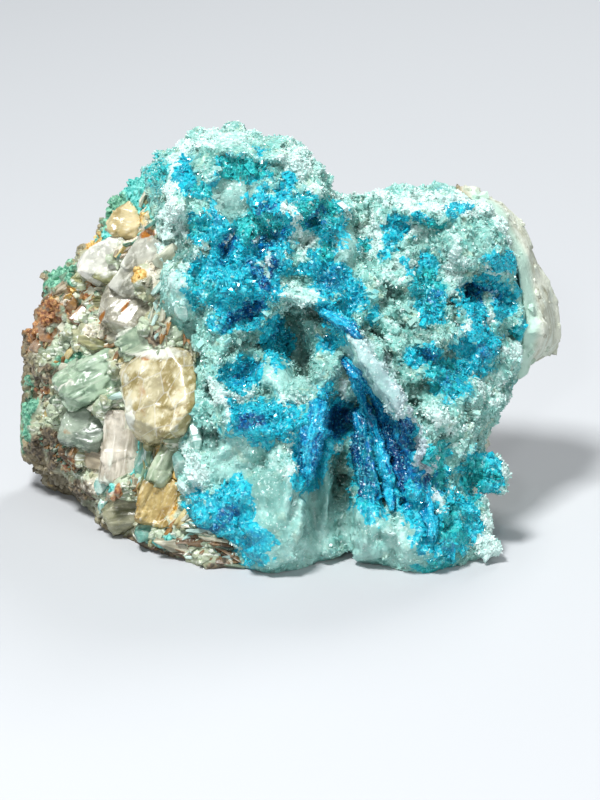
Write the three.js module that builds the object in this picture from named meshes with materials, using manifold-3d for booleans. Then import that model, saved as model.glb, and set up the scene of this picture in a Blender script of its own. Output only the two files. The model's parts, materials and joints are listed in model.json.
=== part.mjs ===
// A mineral specimen: a sparkling mint and blue hemimorphite crust on a brown and green host rock,
// with glassy cleavage crystals set in the rock's broken left side and a fan of blue blades in the
// middle of the crust. Millimetres, +Z up. The show face looks along -Y and leans back, the specimen
// rests on a flat face, and the origin is on that face, under the middle of the specimen.
import * as THREE from "three";
import { ConvexGeometry } from "three/addons/geometries/ConvexGeometry.js";
import { ImprovedNoise } from "three/addons/math/ImprovedNoise.js";
import { mergeVertices } from "three/addons/utils/BufferGeometryUtils.js";
import Module from "manifold-3d";

const wasm = await Module();
wasm.setup();

// Driving dimensions. The face is measured on its own leaning plane: u to the right, v up from the
// foot, and w into the specimen.
const leanBack = THREE.MathUtils.degToRad(20);
const footToMiddle = 13; // from the foot's front edge back to the origin
const backPlane = 17.5; // the broken back lies this far behind the origin
const crustThickness = 7.5;
const gap = 0.3; // clearance between neighbouring solids
const edgeRound = 3.2; // how far the face rolls back at its rim
const backDepth = 31; // from the face's plane to the back, at the foot
const backLean = 0.28; // how much nearer the back comes for each millimetre up
const backCrown = 4; // how far the back rolls forward at its rim
const bodyRoughness = 0.75; // of the sides and the back
const faceRoughness = 0.65;
const bodyDetail = 11; // how finely the body's triangles are divided
const crustSpokes = 34; // points round the crust's rim
const bladeSteps = 6; // sections along a blade of the fan
const plateSteps = 5;
const frontShare = 0.62; // of the body's triangles, on the face
const backShare = 0.24;
const farAway = 60;

// Outline of the specimen seen square to its face, clockwise from the left end.
const outline = [
  [-28.9, 15.3], [-28.1, 18.8], [-28.2, 22.8], [-26.4, 26.8], [-23.2, 31.8], [-20.3, 34.7],
  [-17.7, 38.3], [-15.3, 41.4], [-14.2, 42.9], [-11.0, 43.6], [-9.7, 44.8], [-7.9, 45.4],
  [-4.7, 45.5], [-3.9, 44.1], [-0.8, 44.6], [1.6, 43.3], [2.9, 41.8], [3.4, 39.6], [4.8, 38.6],
  [10.3, 39.0], [14.4, 39.5], [18.7, 40.0], [21.1, 39.5], [23.1, 37.7], [25.0, 34.3],
  [27.4, 29.2], [28.8, 24.8], [28.0, 23.0], [24.6, 21.4], [21.9, 18.5], [20.7, 14.9],
  [19.4, 12.0], [18.2, 9.3], [18.3, 7.6], [19.2, 6.3], [19.6, 2.5], [18.2, -2.8], [12.6, -3.4],
  [5.0, -3.2], [-2.7, -3.4], [-9.0, -3.0], [-14.6, -1.8], [-18.6, 2.0], [-20.9, 6.0],
  [-24.1, 9.4], [-27.1, 10.6], [-28.0, 12.6],
];
const outlineMiddle = [0.5, 21];

// Level sections through the face, from the foot up: at each height, how deep the face lies at u.
const faceSections = [
  { v: 0, cut: [[-26, 18], [-21, 15], [-16, 9], [-12, 5], [-8, 3.4], [-4.5, 2.2], [-2, 0.3],
    [1.6, 2], [5, 5], [7.7, 3.3], [10.4, 2.2], [13.5, 0.8], [17, 2.7], [21, 7]] },
  { v: 5, cut: [[-27, 18], [-20, 13], [-14, 5.5], [-10, 3], [-6.5, 1.4], [-2, -0.5], [2, 1.5],
    [5, 4.6], [8, 1.5], [11, 1], [14, 0.5], [17, 1.5], [21, 5.5]] },
  { v: 10, cut: [[-27, 18], [-21, 12.5], [-17, 9], [-13, 5.5], [-9, 2.2], [-5, 0.4], [-1, -0.5],
    [2, 1.5], [5, 5], [8, 2], [12, 0.5], [15, 2.4], [18, 4.4], [22, 8]] },
  { v: 16, cut: [[-28, 17.5], [-23, 12.5], [-19, 9.5], [-15, 6.5], [-12, 4.2], [-8, 1.8],
    [-4, 0.6], [0, 0.6], [3, 1], [5.5, 6.5], [8, 3], [11, 0.8], [14, 1.8], [18, 4.2], [22, 8.5]] },
  { v: 21, cut: [[-28, 17.5], [-23, 12], [-19, 9], [-15, 6], [-11, 3.6], [-7, 2.2], [-3, 5.6],
    [1, 6.4], [4, 5.6], [7, 1.6], [10, 1.6], [14, 3.2], [18, 5.4], [22, 9], [27, 15]] },
  { v: 26, cut: [[-27, 17], [-20, 10.5], [-16, 7], [-12, 3.6], [-8, 2.2], [-4, 3.4], [0, 4.6],
    [3, 2.2], [7, 3.2], [11, 4.2], [15, 6], [19, 7.8], [23, 9.5], [27.5, 15]] },
  { v: 31, cut: [[-24, 14.5], [-18, 9], [-14, 5], [-10, 2.4], [-6, 2.6], [-2, 2], [2, 2.5],
    [5.5, 4.5], [9, 7], [14, 7.5], [18, 8.4], [22, 9], [27, 15]] },
  { v: 36, cut: [[-19, 12.5], [-14, 6.5], [-11, 3.2], [-7, 2.6], [-3, 2.6], [0, 2.4], [3, 4.5],
    [6, 8.8], [10, 9], [14, 8.5], [18, 9], [23, 13]] },
  { v: 40, cut: [[-17, 11], [-14, 8.5], [-11, 5], [-7, 3.6], [-3, 3.6], [1, 5], [5, 9],
    [12, 11], [17, 12], [22, 15]] },
  { v: 46, cut: [[-15, 11], [-7, 8], [-3, 8], [2, 10], [12, 15], [20, 17]] },
];

// The crust covers the face inside this line; the host rock shows to its left, below and right.
const crustLine = [
  [-15.6, 48], [-15.0, 40.4], [-14.6, 38.0], [-12.7, 35.4], [-12.8, 31], [-13.4, 27],
  [-12.2, 25.2], [-9.7, 24.4], [-9.0, 21.5], [-9.2, 18.5], [-10.3, 15.4], [-11.0, 13.0],
  [-11.6, 10.4], [-10.4, 8.6], [-10.6, 5.6], [-9.4, 4.2], [-4.6, 2.2], [-3.2, -6], [1.7, -6],
  [2.4, 2.6], [6.0, 2.9], [8.0, 1.4], [8.6, -6], [22, -6], [26, 4], [26, 13], [23.6, 18.4],
  [23.4, 22.0], [24.2, 24.2], [23.9, 27.0], [23.5, 30.2], [22.9, 32.6], [22.0, 35.4],
  [19.4, 37.4], [16.6, 39.2], [15.6, 48],
];
const crustMiddle = [3, 21];

// Rounded druse lumps of the crust: u, v, radius and how far the lump's middle is sunk in the face.
const druseLumps = [
  [-13.4, 39.6, 2.1, 0.9], [-9.2, 42.9, 1.9, 0.9], [-6.3, 43.4, 2.0, 0.9], [-4.3, 42.3, 1.8, 0.8],
  [-0.9, 42.4, 2.0, 0.9], [1.2, 41.0, 1.9, 0.8], [2.3, 38.7, 1.9, 0.8], [-8.4, 39.2, 2.6, 1.5],
  [-4.6, 38.8, 2.8, 1.7], [-0.8, 38.0, 2.6, 1.5], [-11.6, 37.6, 1.7, 0.7], [2.4, 35.4, 1.7, 0.6],
  [-11.0, 28.8, 2.2, 1.2], [-9.6, 26.0, 1.9, 1.0], [-6.8, 24.8, 2.0, 1.0], [-7.2, 20.8, 1.8, 0.8],
  [-1.2, 20.4, 2.3, 0.6], [3.2, 21.2, 2.2, 0.4], [1.0, 27.2, 1.8, 0.6], [5.9, 33.4, 1.8, 0.1],
  [8.6, 29.2, 1.8, 0.4], [9.6, 27.2, 2.4, 1.0], [9.0, 22.4, 1.9, 0.6], [12.4, 19.2, 2.3, 0.9],
  [15.2, 15.8, 2.2, 0.8], [13.2, 12.6, 1.7, 0.4], [17.6, 17.0, 2.3, 0.8], [17.9, 12.4, 2.0, 0.8],
  [11.2, 37.2, 1.9, 0.8], [14.2, 37.0, 2.2, 1.0], [16.6, 33.2, 3.0, 1.6], [20.8, 31.6, 2.0, 0.9],
  [14.0, 27.4, 2.0, 0.6], [16.8, 24.8, 2.1, 0.7], [20.0, 22.4, 2.2, 0.9], [22.4, 26.8, 1.8, 0.6],
  [12.0, 24.0, 2.0, 0.7], [-6.4, 16.0, 2.2, 1.2], [-3.6, 13.2, 2.1, 1.1], [-9.4, 12.2, 1.8, 0.7],
  [-1.2, 2.9, 2.4, 1.1], [12.6, 2.2, 1.9, 0.7], [9.8, 3.6, 1.7, 0.6], [15.9, 3.4, 1.8, 0.6],
];

const smallLumpCount = 70;
const lumpRelief = 1.35; // how much taller than round the lumps stand

// Knobs that stand clear of the lower right edge: u, v, w, radius.
const edgeKnobs = [
  [17.8, 11.2, 5.4, 1.7], [19.3, 11.1, 5.0, 1.25], [20.4, 10.7, 4.8, 1.25], [21.2, 10.3, 4.6, 1.0],
  [20.6, 9.3, 4.7, 0.85], [17.6, 5.6, 4.0, 2.0], [18.8, 4.0, 3.6, 1.7], [19.8, 3.0, 3.6, 1.25],
];

// Pits in the crust: u, v, radius, depth of the pit's middle under the face.
const crustPits = [
  [18.0, 28.3, 1.1, 0.6], [5.5, 16.0, 1.7, 0.2], [5.6, 9.4, 1.3, 0.4], [-8.2, 13.9, 0.9, 0.1],
  [-3.4, 22.6, 1.5, 0.3], [6.3, 25.0, 1.1, 0.1], [11.3, 21.5, 0.9, 0.1],
];

// Pale plates of the crust: front edge from top to foot, the way each plate runs in, its thickness.
const palePlates = [
  { edge: [[0.8, 15.0, -0.6], [0.6, 11.5, -1.5], [-0.4, 6.0, -1.7], [-2.6, 0.8, -0.4]],
    inward: [-2.6, 0, 4.5], thick: 1.5 },
  { edge: [[4.3, 13.6, 1.2], [3.8, 8.5, 0.6], [3.1, 2.2, 1.6]], inward: [-2.6, 0, 5], thick: 1.3 },
  { edge: [[6.6, 9.0, 1.8], [7.2, 5.0, 0.5], [7.6, 1.6, 1.4]], inward: [-0.4, 0, 5], thick: 1.4 },
  { edge: [[9.8, 7.6, 0.2], [9.6, 4.4, -0.7], [9.5, 1.6, 0.4]], inward: [1.0, 0, 5], thick: 1.3 },
  { edge: [[15.4, 8.0, 1.2], [15.6, 4.6, 0.1], [15.9, 1.9, 1.2]], inward: [0.6, 0, 5], thick: 1.2 },
  { edge: [[2.8, 26.9, 1.2], [5.6, 25.0, -1.0], [8.0, 22.4, -2.2], [10.2, 19.0, -2.4],
    [12.0, 15.8, -1.6], [13.3, 12.6, 0.4]], inward: [-0.9, -0.9, 5], thick: 1.7 },
  { edge: [[-4.5, 27.6, 1.8], [-0.5, 27.9, 1.2], [2.6, 27.0, 1.6]], inward: [0, 0.4, 4], thick: 1.5 },
  { edge: [[-8.6, 10.8, 0.8], [-5.2, 13.4, -0.4], [-1.6, 14.4, -0.8]], inward: [0, 0.6, 4],
    thick: 1.3 },
];

// Blades of the blue fan, edge by edge as above. Each one runs up into the hub that joins them.
const fanHub = { at: [8.3, 16.3, 4.2], radius: 2.2 };
const blueBlades = [
  { edge: [[6.8, 17.6, 1.2], [6.2, 14.0, 1.4], [6.8, 10.2, 1.8], [7.8, 6.9, 2.6]],
    inward: [1.2, 0.4, 3.6], thick: 0.9 },
  { edge: [[8.0, 18.6, -0.9], [8.7, 14.6, -1.0], [9.4, 10.4, -0.5], [9.9, 6.0, 0.8]],
    inward: [-0.2, 0.4, 4.4], thick: 0.95 },
  { edge: [[9.6, 17.8, -0.2], [10.8, 13.4, -1.2], [11.8, 9.0, -1.2], [12.8, 4.0, -0.2]],
    inward: [-0.9, 0.3, 4.6], thick: 1.25 },
  { edge: [[10.8, 16.2, 0.4], [12.6, 13.4, -0.4], [13.6, 10.2, -0.3], [14.0, 6.4, 0.8]],
    inward: [0.3, 0.3, 4.0], thick: 0.95 },
];
// The single blue blade left of the fan.
const loneBlade = { edge: [[3.4, 18.0, -0.6], [2.9, 14.2, -1.3], [1.9, 9.2, -0.4]],
  inward: [-2.3, 0.6, 2.2], thick: 1.1 };

// Glassy crystals set in the broken left side: middle on the face, how far the middle is sunk,
// size along, across and through, turn in the face, tip out of it, chopped corners, colour.
const rockCrystals = [
  { name: "yellow_crystal", at: [-12.6, 17.9], sunk: 0.4, size: [7.2, 8.2, 5.6], turn: 12, tip: 14,
    chop: 0.27, colour: "#d8cf9a" },
  { name: "white_oval_crystal", at: [-18.9, 31.8], sunk: 0.2, size: [5.4, 3.3, 3.2], turn: 32,
    tip: 10, chop: 0.34, colour: "#e9e7dc" },
  { name: "clear_crystal", at: [-16.3, 26.5], sunk: 0.3, size: [5.8, 4.2, 3.6], turn: -20, tip: 20,
    chop: 0.3, colour: "#d5d0c2" },
  { name: "green_blade_crystal", at: [-19.9, 20.2], sunk: 0.1, size: [8.0, 3.6, 3.4], turn: 28,
    tip: -8, chop: 0.22, colour: "#9fc4ad" },
  { name: "sea_green_crystal", at: [-13.8, 23.9], sunk: 0.3, size: [7.0, 2.9, 3.2], turn: 22,
    tip: 8, chop: 0.24, colour: "#a9c3b2" },
  { name: "grey_glassy_crystal", at: [-21.0, 15.0], sunk: 0.4, size: [4.2, 5.0, 3.6], turn: -18,
    tip: 12, chop: 0.3, colour: "#7f9084" },
  { name: "tan_block_crystal", at: [-17.4, 12.6], sunk: 0.2, size: [3.3, 7.0, 3.4], turn: -6,
    tip: 4, chop: 0.2, colour: "#c3b9a2" },
  { name: "small_green_prism", at: [-12.8, 11.0], sunk: -0.2, size: [1.7, 4.4, 1.9], turn: -30,
    tip: 0, chop: 0.22, colour: "#b9cfae" },
  { name: "ochre_crystal", at: [-13.2, 7.2], sunk: 0.3, size: [3.6, 4.6, 3.2], turn: -14, tip: 10,
    chop: 0.26, colour: "#d9b253" },
  { name: "olive_crystal", at: [-16.9, 5.9], sunk: 0.5, size: [3.9, 2.9, 3.0], turn: 24, tip: 6,
    chop: 0.28, colour: "#8d9a80" },
  { name: "grey_white_crystal", at: [-15.2, 31.0], sunk: 0.5, size: [3.4, 6.2, 3.2], turn: -34,
    tip: -6, chop: 0.25, colour: "#cfcfc4" },
  { name: "cream_wedge_crystal", at: [-16.7, 35.6], sunk: 0.3, size: [3.0, 3.2, 2.6], turn: 40,
    tip: 10, chop: 0.3, colour: "#dcca9a" },
];

const chipCount = 22; // of the rock's left side, fewer where they would pass the outline
const chipReach = 0.94; // the share of the outline that the chips keep inside
const ledgeCount = 6; // of the rock's foot

const perlin = new ImprovedNoise();
const allLumps = [...druseLumps, ...smallLumps()];

// Fractal noise from about -1 to 1 at a point in millimetres, for lumps about `size` across.
function fractal(u, v, w, size) {
  let sum = 0;
  for (let octave = 0, share = 1; octave < 3; octave++, share /= 2) {
    const f = 2 ** octave / size;
    sum += share * perlin.noise(u * f + 7.3 * octave, v * f + 3.1, w * f + 5.7);
  }
  return sum;
}

// A repeatable number from 0 to 1 for a count and a base, spread evenly (the Halton sequence).
function spread(count, base) {
  let value = 0;
  for (let share = 1 / base; count > 0; count = Math.floor(count / base), share /= base)
    value += (count % base) * share;
  return value;
}

// A point of the face's own frame in the specimen's frame.
function placed(u, v, w) {
  const s = Math.sin(leanBack);
  const c = Math.cos(leanBack);
  return new THREE.Vector3(u, v * s + w * c - footToMiddle, v * c - w * s);
}

function alongSection(cut, u) {
  if (u <= cut[0][0]) return cut[0][1];
  for (let i = 1; i < cut.length; i++)
    if (u <= cut[i][0])
      return THREE.MathUtils.mapLinear(u, cut[i - 1][0], cut[i][0], cut[i - 1][1], cut[i][1]);
  return cut[cut.length - 1][1];
}

// How deep the face lies at (u, v), blended between the level sections.
function faceDepth(u, v) {
  const height = THREE.MathUtils.clamp(v, 0, faceSections.at(-1).v);
  const i = Math.max(1, faceSections.findIndex((section) => section.v >= height));
  const [below, above] = [faceSections[i - 1], faceSections[i]];
  const share = THREE.MathUtils.smoothstep(height, below.v, above.v);
  return THREE.MathUtils.lerp(alongSection(below.cut, u), alongSection(above.cut, u), share);
}

// The small lumps between the large ones, spread evenly over the crust, as rows of druseLumps.
function smallLumps() {
  const lumps = [];
  for (let i = 1; i <= smallLumpCount; i++) {
    const u = THREE.MathUtils.lerp(-11, 22, spread(i, 2));
    const v = THREE.MathUtils.lerp(2, 43, spread(i, 3));
    const onFan = u > 3.5 && u < 14.5 && v < 18;
    if (!onFan) lumps.push([u, v, 1.1 + 0.8 * spread(i, 5), 0.5]);
  }
  return lumps;
}

// How deep the surface lies at (u, v), with the druse lumps standing on the face.
function surfaceDepth(u, v) {
  let rise = 0;
  for (const [lu, lv, radius, sunk] of allLumps) {
    const off = (u - lu) ** 2 + (v - lv) ** 2;
    if (off < radius ** 2) rise = Math.max(rise, lumpRelief * Math.sqrt(radius ** 2 - off) - sunk);
  }
  return faceDepth(u, v) - rise;
}

// The closed line through outline points, sampled evenly, as [u, v] pairs.
function sampled(points, count) {
  const line = new THREE.CatmullRomCurve3(
    points.map(([u, v]) => new THREE.Vector3(u, v, 0)), true, "centripetal");
  return line.getSpacedPoints(count).slice(0, count).map((p) => [p.x, p.y]);
}

// A manifold solid from points and triangles, turned right side out.
function solidFrom(points, faces) {
  const made = new THREE.BufferGeometry().setFromPoints(points);
  made.setIndex(faces);
  return solidOf(made);
}

function solidOf(geometry) {
  geometry.deleteAttribute("normal");
  geometry.deleteAttribute("uv");
  const merged = mergeVertices(geometry, 1e-4);
  const triVerts = new Uint32Array(merged.index.array);
  const vertProperties = merged.attributes.position.array;
  const make = () => new wasm.Manifold(new wasm.Mesh({ numProp: 3, vertProperties, triVerts }));
  const solid = make();
  if (solid.volume() > 0) return solid;
  for (let i = 0; i < triVerts.length; i += 3)
    [triVerts[i + 1], triVerts[i + 2]] = [triVerts[i + 2], triVerts[i + 1]];
  return make();
}

// The largest connected part of a solid, without the loose chips that a cut leaves.
function largest(solid) {
  return solid.decompose().reduce((a, b) => (a.volume() > b.volume() ? a : b));
}

function united(solids) {
  return solids.reduce((all, one) => all.add(one));
}

// A lump of druse: a ball of flat faces with an uneven radius.
function lump(u, v, w, radius, detail, grow) {
  const ball = new THREE.IcosahedronGeometry(1, detail);
  const position = ball.attributes.position;
  const middle = placed(u, v, w);
  const p = new THREE.Vector3();
  for (let i = 0; i < position.count; i++) {
    p.fromBufferAttribute(position, i).normalize();
    const uneven = 1 + 0.22 * fractal(p.x * 3 + u, p.y * 3 + v, p.z * 3, 2.2);
    p.multiplyScalar(radius * uneven + grow).add(middle);
    position.setXYZ(i, p.x, p.y, p.z);
  }
  return solidOf(ball);
}

// A thin plate behind a front edge: it runs `inward`, thin and ragged at the edge, thicker at its
// root, and narrower towards its foot.
function plate({ edge, inward, thick }, steps, grow) {
  const line = new THREE.CatmullRomCurve3(edge.map((p) => new THREE.Vector3(...p)));
  const into = new THREE.Vector3(...inward);
  const points = [];
  const faces = [];
  for (let i = 0; i <= steps; i++) {
    const t = i / steps;
    const end = i === 0 ? -grow : i === steps ? grow : 0;
    const along = line.getTangent(t);
    const side = new THREE.Vector3().crossVectors(along, into).normalize();
    const ragged = (i % 2 ? 0.22 : -0.12) + 0.3 * fractal(t * 20, edge[0][0], edge[0][1], 3);
    const tapered = 1 - 0.45 * t * t;
    const front = line.getPoint(t).addScaledVector(along, end)
      .addScaledVector(into, (ragged - grow) / into.length());
    const root = front.clone().addScaledVector(into, tapered + (2 * grow) / into.length());
    for (const [place, half] of [[front, 0.28 * thick * tapered], [root, 0.5 * thick]])
      for (const way of [-1, 1]) {
        const q = place.clone().addScaledVector(side, way * (half + grow));
        points.push(placed(q.x, q.y, q.z));
      }
  }
  const ring = [0, 1, 3, 2];
  for (let i = 0; i < steps; i++)
    for (let k = 0; k < 4; k++) {
      const a = 4 * i + ring[k];
      const b = 4 * i + ring[(k + 1) % 4];
      faces.push(a, b, b + 4, a, b + 4, a + 4);
    }
  const last = 4 * steps;
  faces.push(0, 3, 1, 0, 2, 3, last, last + 1, last + 3, last, last + 3, last + 2);
  return solidFrom(points, faces);
}

// A cleavage block: a box with its corners chopped unevenly, turned in the face and tipped.
function block({ at, w, size, turn, tip, chop }, grow) {
  const points = [];
  const spin = new THREE.Euler(THREE.MathUtils.degToRad(tip), THREE.MathUtils.degToRad(tip * 0.7),
    THREE.MathUtils.degToRad(turn), "ZYX");
  for (let corner = 0; corner < 8; corner++) {
    const sign = [corner & 1 ? 1 : -1, corner & 2 ? 1 : -1, corner & 4 ? 1 : -1];
    for (let axis = 0; axis < 3; axis++) {
      const cutBack = chop * (0.55 + 0.9 * spread(corner * 3 + axis + 1 + Math.abs(at[0]), 2));
      const p = sign.map((s, i) => s * (size[i] / 2 + grow) * (i === axis ? 1 - 2 * cutBack : 1));
      const q = new THREE.Vector3(...p).applyEuler(spin);
      points.push(placed(at[0] + q.x, at[1] + q.y, w + q.z));
    }
  }
  return solidOf(new ConvexGeometry(points));
}

// The outline's distance from its middle in a given direction.
function outlineReach() {
  const rim = sampled(outline, 360).map(([u, v]) => {
    const [du, dv] = [u - outlineMiddle[0], v - outlineMiddle[1]];
    return { angle: Math.atan2(dv, du), reach: Math.hypot(du, dv) };
  });
  rim.sort((a, b) => a.angle - b.angle);
  return (angle) => {
    const i = rim.findIndex((one) => one.angle >= angle);
    if (i < 1) return rim[0].reach;
    const share = (angle - rim[i - 1].angle) / (rim[i].angle - rim[i - 1].angle);
    return THREE.MathUtils.lerp(rim[i - 1].reach, rim[i].reach, share);
  };
}

// The whole specimen before it is parted into crust and rock: a ball of even triangles. Its front
// is spread over the face, its belt is the side wall, and the rest is the back.
function wholeBody() {
  const ball = new THREE.IcosahedronGeometry(1, bodyDetail);
  ball.rotateX(0.37); // so that no seam of the ball lines up with the face
  ball.rotateZ(0.21);
  const position = ball.attributes.position;
  const reachAt = outlineReach();
  const p = new THREE.Vector3();
  for (let i = 0; i < position.count; i++) {
    p.fromBufferAttribute(position, i).normalize();
    const share = (1 - p.z) / 2;
    const angle = Math.atan2(p.y, p.x);
    const onFront = share < frontShare;
    const onBack = share > 1 - backShare;
    const reach = onFront ? Math.sqrt(share / frontShare)
      : onBack ? Math.sqrt((1 - share) / backShare) : 1;
    const u = outlineMiddle[0] + reach * reachAt(angle) * Math.cos(angle);
    const v = outlineMiddle[1] + reach * reachAt(angle) * Math.sin(angle);
    const rolled = edgeRound * THREE.MathUtils.smoothstep(reach, 0.9, 1) ** 2;
    const front = surfaceDepth(u, v) + rolled;
    const back = backDepth - backLean * v + 1.5 * fractal(u, v, 90, 9) - backCrown * reach ** 4;
    const wall = (share - frontShare) / (1 - frontShare - backShare);
    const w = onFront ? front : onBack ? back : THREE.MathUtils.lerp(front, back, wall);
    const rough = onFront ? faceRoughness : bodyRoughness;
    const q = placed(u + 0.6 * rough * fractal(u + 40, v, w, 4),
      v - 0.6 * rough * fractal(u, v + 40, w, 4), w + rough * fractal(u, v, w, 4));
    position.setXYZ(i, q.x, q.y, q.z);
  }
  return solidOf(ball);
}

// Everything above the resting face and in front of the broken back.
function restingSpace() {
  const box = new THREE.BoxGeometry(2 * farAway, farAway + backPlane, farAway);
  box.translate(0, (backPlane - farAway) / 2, farAway / 2);
  return solidOf(box);
}

// The space that the crust takes from the body: a column over the crust line, whose rings run from
// the middle of its front, round its rim, to the middle of the crust's back.
function crustSpace(grow) {
  const rim = sampled(crustLine, crustSpokes);
  const [mu, mv] = crustMiddle;
  const rings = [{ reach: 1, far: false }, ...[1, 0.7, 0.35].map((reach) => ({ reach, far: true }))];
  const depthAt = (u, v) => (faceDepth(u - 3, v) + 2 * faceDepth(u, v) + faceDepth(u + 3, v)) / 4
    + crustThickness + 0.8 * fractal(u, v, 20, 6) + 3 * grow;
  const points = [placed(mu, mv, -farAway / 2)];
  for (const { reach, far } of rings)
    for (const [u, v] of rim) {
      const out = new THREE.Vector2(u - mu, v - mv).multiplyScalar(reach);
      const w = far ? depthAt(mu + out.x, mv + out.y) : -farAway / 2;
      if (reach === 1) out.setLength(out.length() + grow);
      points.push(placed(mu + out.x, mv + out.y, w));
    }
  points.push(placed(mu, mv, depthAt(mu, mv)));
  const faces = [];
  const at = (ring, spoke) => 1 + ring * rim.length + (spoke % rim.length);
  for (let j = 0; j < rim.length; j++) {
    faces.push(0, at(0, j), at(0, j + 1));
    for (let k = 0; k < rings.length - 1; k++)
      faces.push(at(k, j), at(k + 1, j), at(k + 1, j + 1), at(k, j), at(k + 1, j + 1), at(k, j + 1));
    faces.push(at(rings.length - 1, j + 1), at(rings.length - 1, j), points.length - 1);
  }
  return solidFrom(points, faces);
}

// What stands out of the crust's edge and face: knobs and pale plates.
function crustGrowth(grow) {
  const knobs = edgeKnobs.map(([u, v, w, radius]) => lump(u, v, w, radius, radius > 1.5 ? 1 : 0, grow));
  return united([...knobs, ...palePlates.map((one) => plate(one, plateSteps, grow))]);
}

function blueFan(grow) {
  const hub = lump(...fanHub.at, fanHub.radius, 1, grow);
  return united([hub, ...blueBlades.map((blade) => plate(blade, bladeSteps, grow))]);
}

// Broken chips of the host rock over its left side, and ledges along the foot.
function rockRubble() {
  const chips = [];
  const [mu, mv] = outlineMiddle;
  const reachAt = outlineReach();
  for (let i = 1; i <= chipCount; i++) {
    const u = THREE.MathUtils.lerp(-27, -11, spread(i, 2));
    const v = THREE.MathUtils.lerp(5, 40, spread(i, 3));
    if (Math.hypot(u - mu, v - mv) > chipReach * reachAt(Math.atan2(v - mv, u - mu))) continue;
    const size = [0, 1, 2].map((axis) => 2 + 2.4 * spread(i + 11 * axis, 5));
    chips.push(block({ at: [u, v], w: faceDepth(u, v) + 0.9, size, turn: 180 * spread(i, 7),
      tip: 50 * spread(i, 11) - 25, chop: 0.27 }, 0));
  }
  for (let i = 1; i <= ledgeCount; i++) {
    const u = THREE.MathUtils.lerp(-17, 8, i / ledgeCount);
    const size = [3.4, 1.6 + spread(i, 2), 3.4];
    chips.push(block({ at: [u, 3.4 - 1.4 * spread(i, 3)], w: faceDepth(u, 1) + 3.2, size,
      turn: 20 * spread(i, 5) - 10, tip: 12, chop: 0.25 }, 0));
  }
  return united(chips);
}

// A named mesh with flat shading, from a manifold solid.
function mesh(name, solid, colour, roughness) {
  const { vertProperties, triVerts, numProp } = solid.getMesh();
  const geometry = new THREE.BufferGeometry();
  geometry.setAttribute("position",
    new THREE.InterleavedBufferAttribute(new THREE.InterleavedBuffer(vertProperties, numProp), 3, 0));
  geometry.setIndex(new THREE.BufferAttribute(triVerts, 1));
  const material = new THREE.MeshStandardMaterial(
    { color: colour, roughness, metalness: 0, flatShading: true });
  const made = new THREE.Mesh(geometry, material);
  made.name = name;
  return made;
}

const resting = restingSpace();
const body = wholeBody();
const crystalAt = ({ at, sunk, ...rest }) => ({ at, w: faceDepth(...at) + sunk, ...rest });

const fan = largest(blueFan(0).intersect(resting));
const lone = plate(loneBlade, bladeSteps, 0);
const pits = united(crustPits.map(([u, v, radius, depth]) =>
  lump(u, v, faceDepth(u, v) + depth, radius, 0, 0)));
const crustRaw = body.intersect(crustSpace(0)).subtract(pits).add(crustGrowth(0));
const crust = largest(crustRaw.add(lone).intersect(resting).subtract(blueFan(gap)));

const crustCutter = united([crustSpace(gap), crustGrowth(gap), blueFan(gap),
  plate(loneBlade, bladeSteps, gap)]);
const crystalSockets = united(rockCrystals.map((one) => block(crystalAt(one), gap)));
const rock = largest(body.add(rockRubble()).intersect(resting).subtract(crustCutter)
  .subtract(crystalSockets));

// Crystals that grow against each other: each one is cut by those before it in the list.
function crystalSolid(i) {
  const one = block(crystalAt(rockCrystals[i]), 0).subtract(crustCutter).intersect(resting);
  const before = rockCrystals.slice(0, i).map((other) => block(crystalAt(other), gap));
  return largest(before.length ? one.subtract(united(before)) : one);
}

const specimen = new THREE.Group();
specimen.add(mesh("host_rock", rock, "#7a6a4f", 0.85));
specimen.add(mesh("hemimorphite_crust", crust, "#9fd6cf", 0.5));
specimen.add(mesh("blue_blade_fan", fan, "#0f6fa8", 0.35));
rockCrystals.forEach(({ name, colour }, i) =>
  specimen.add(mesh(name, crystalSolid(i), colour, 0.2)));

export default specimen;
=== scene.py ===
# A mineral specimen: mint and blue hemimorphite druse on a stained host rock, dressed around its
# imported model. Lengths in the dictionaries are millimetres, and Blender's are metres.
import bmesh
import bpy
import json
import math
import random
import numpy as np
from mathutils import Euler, Matrix, Vector, noise
from mathutils.bvhtree import BVHTree

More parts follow.
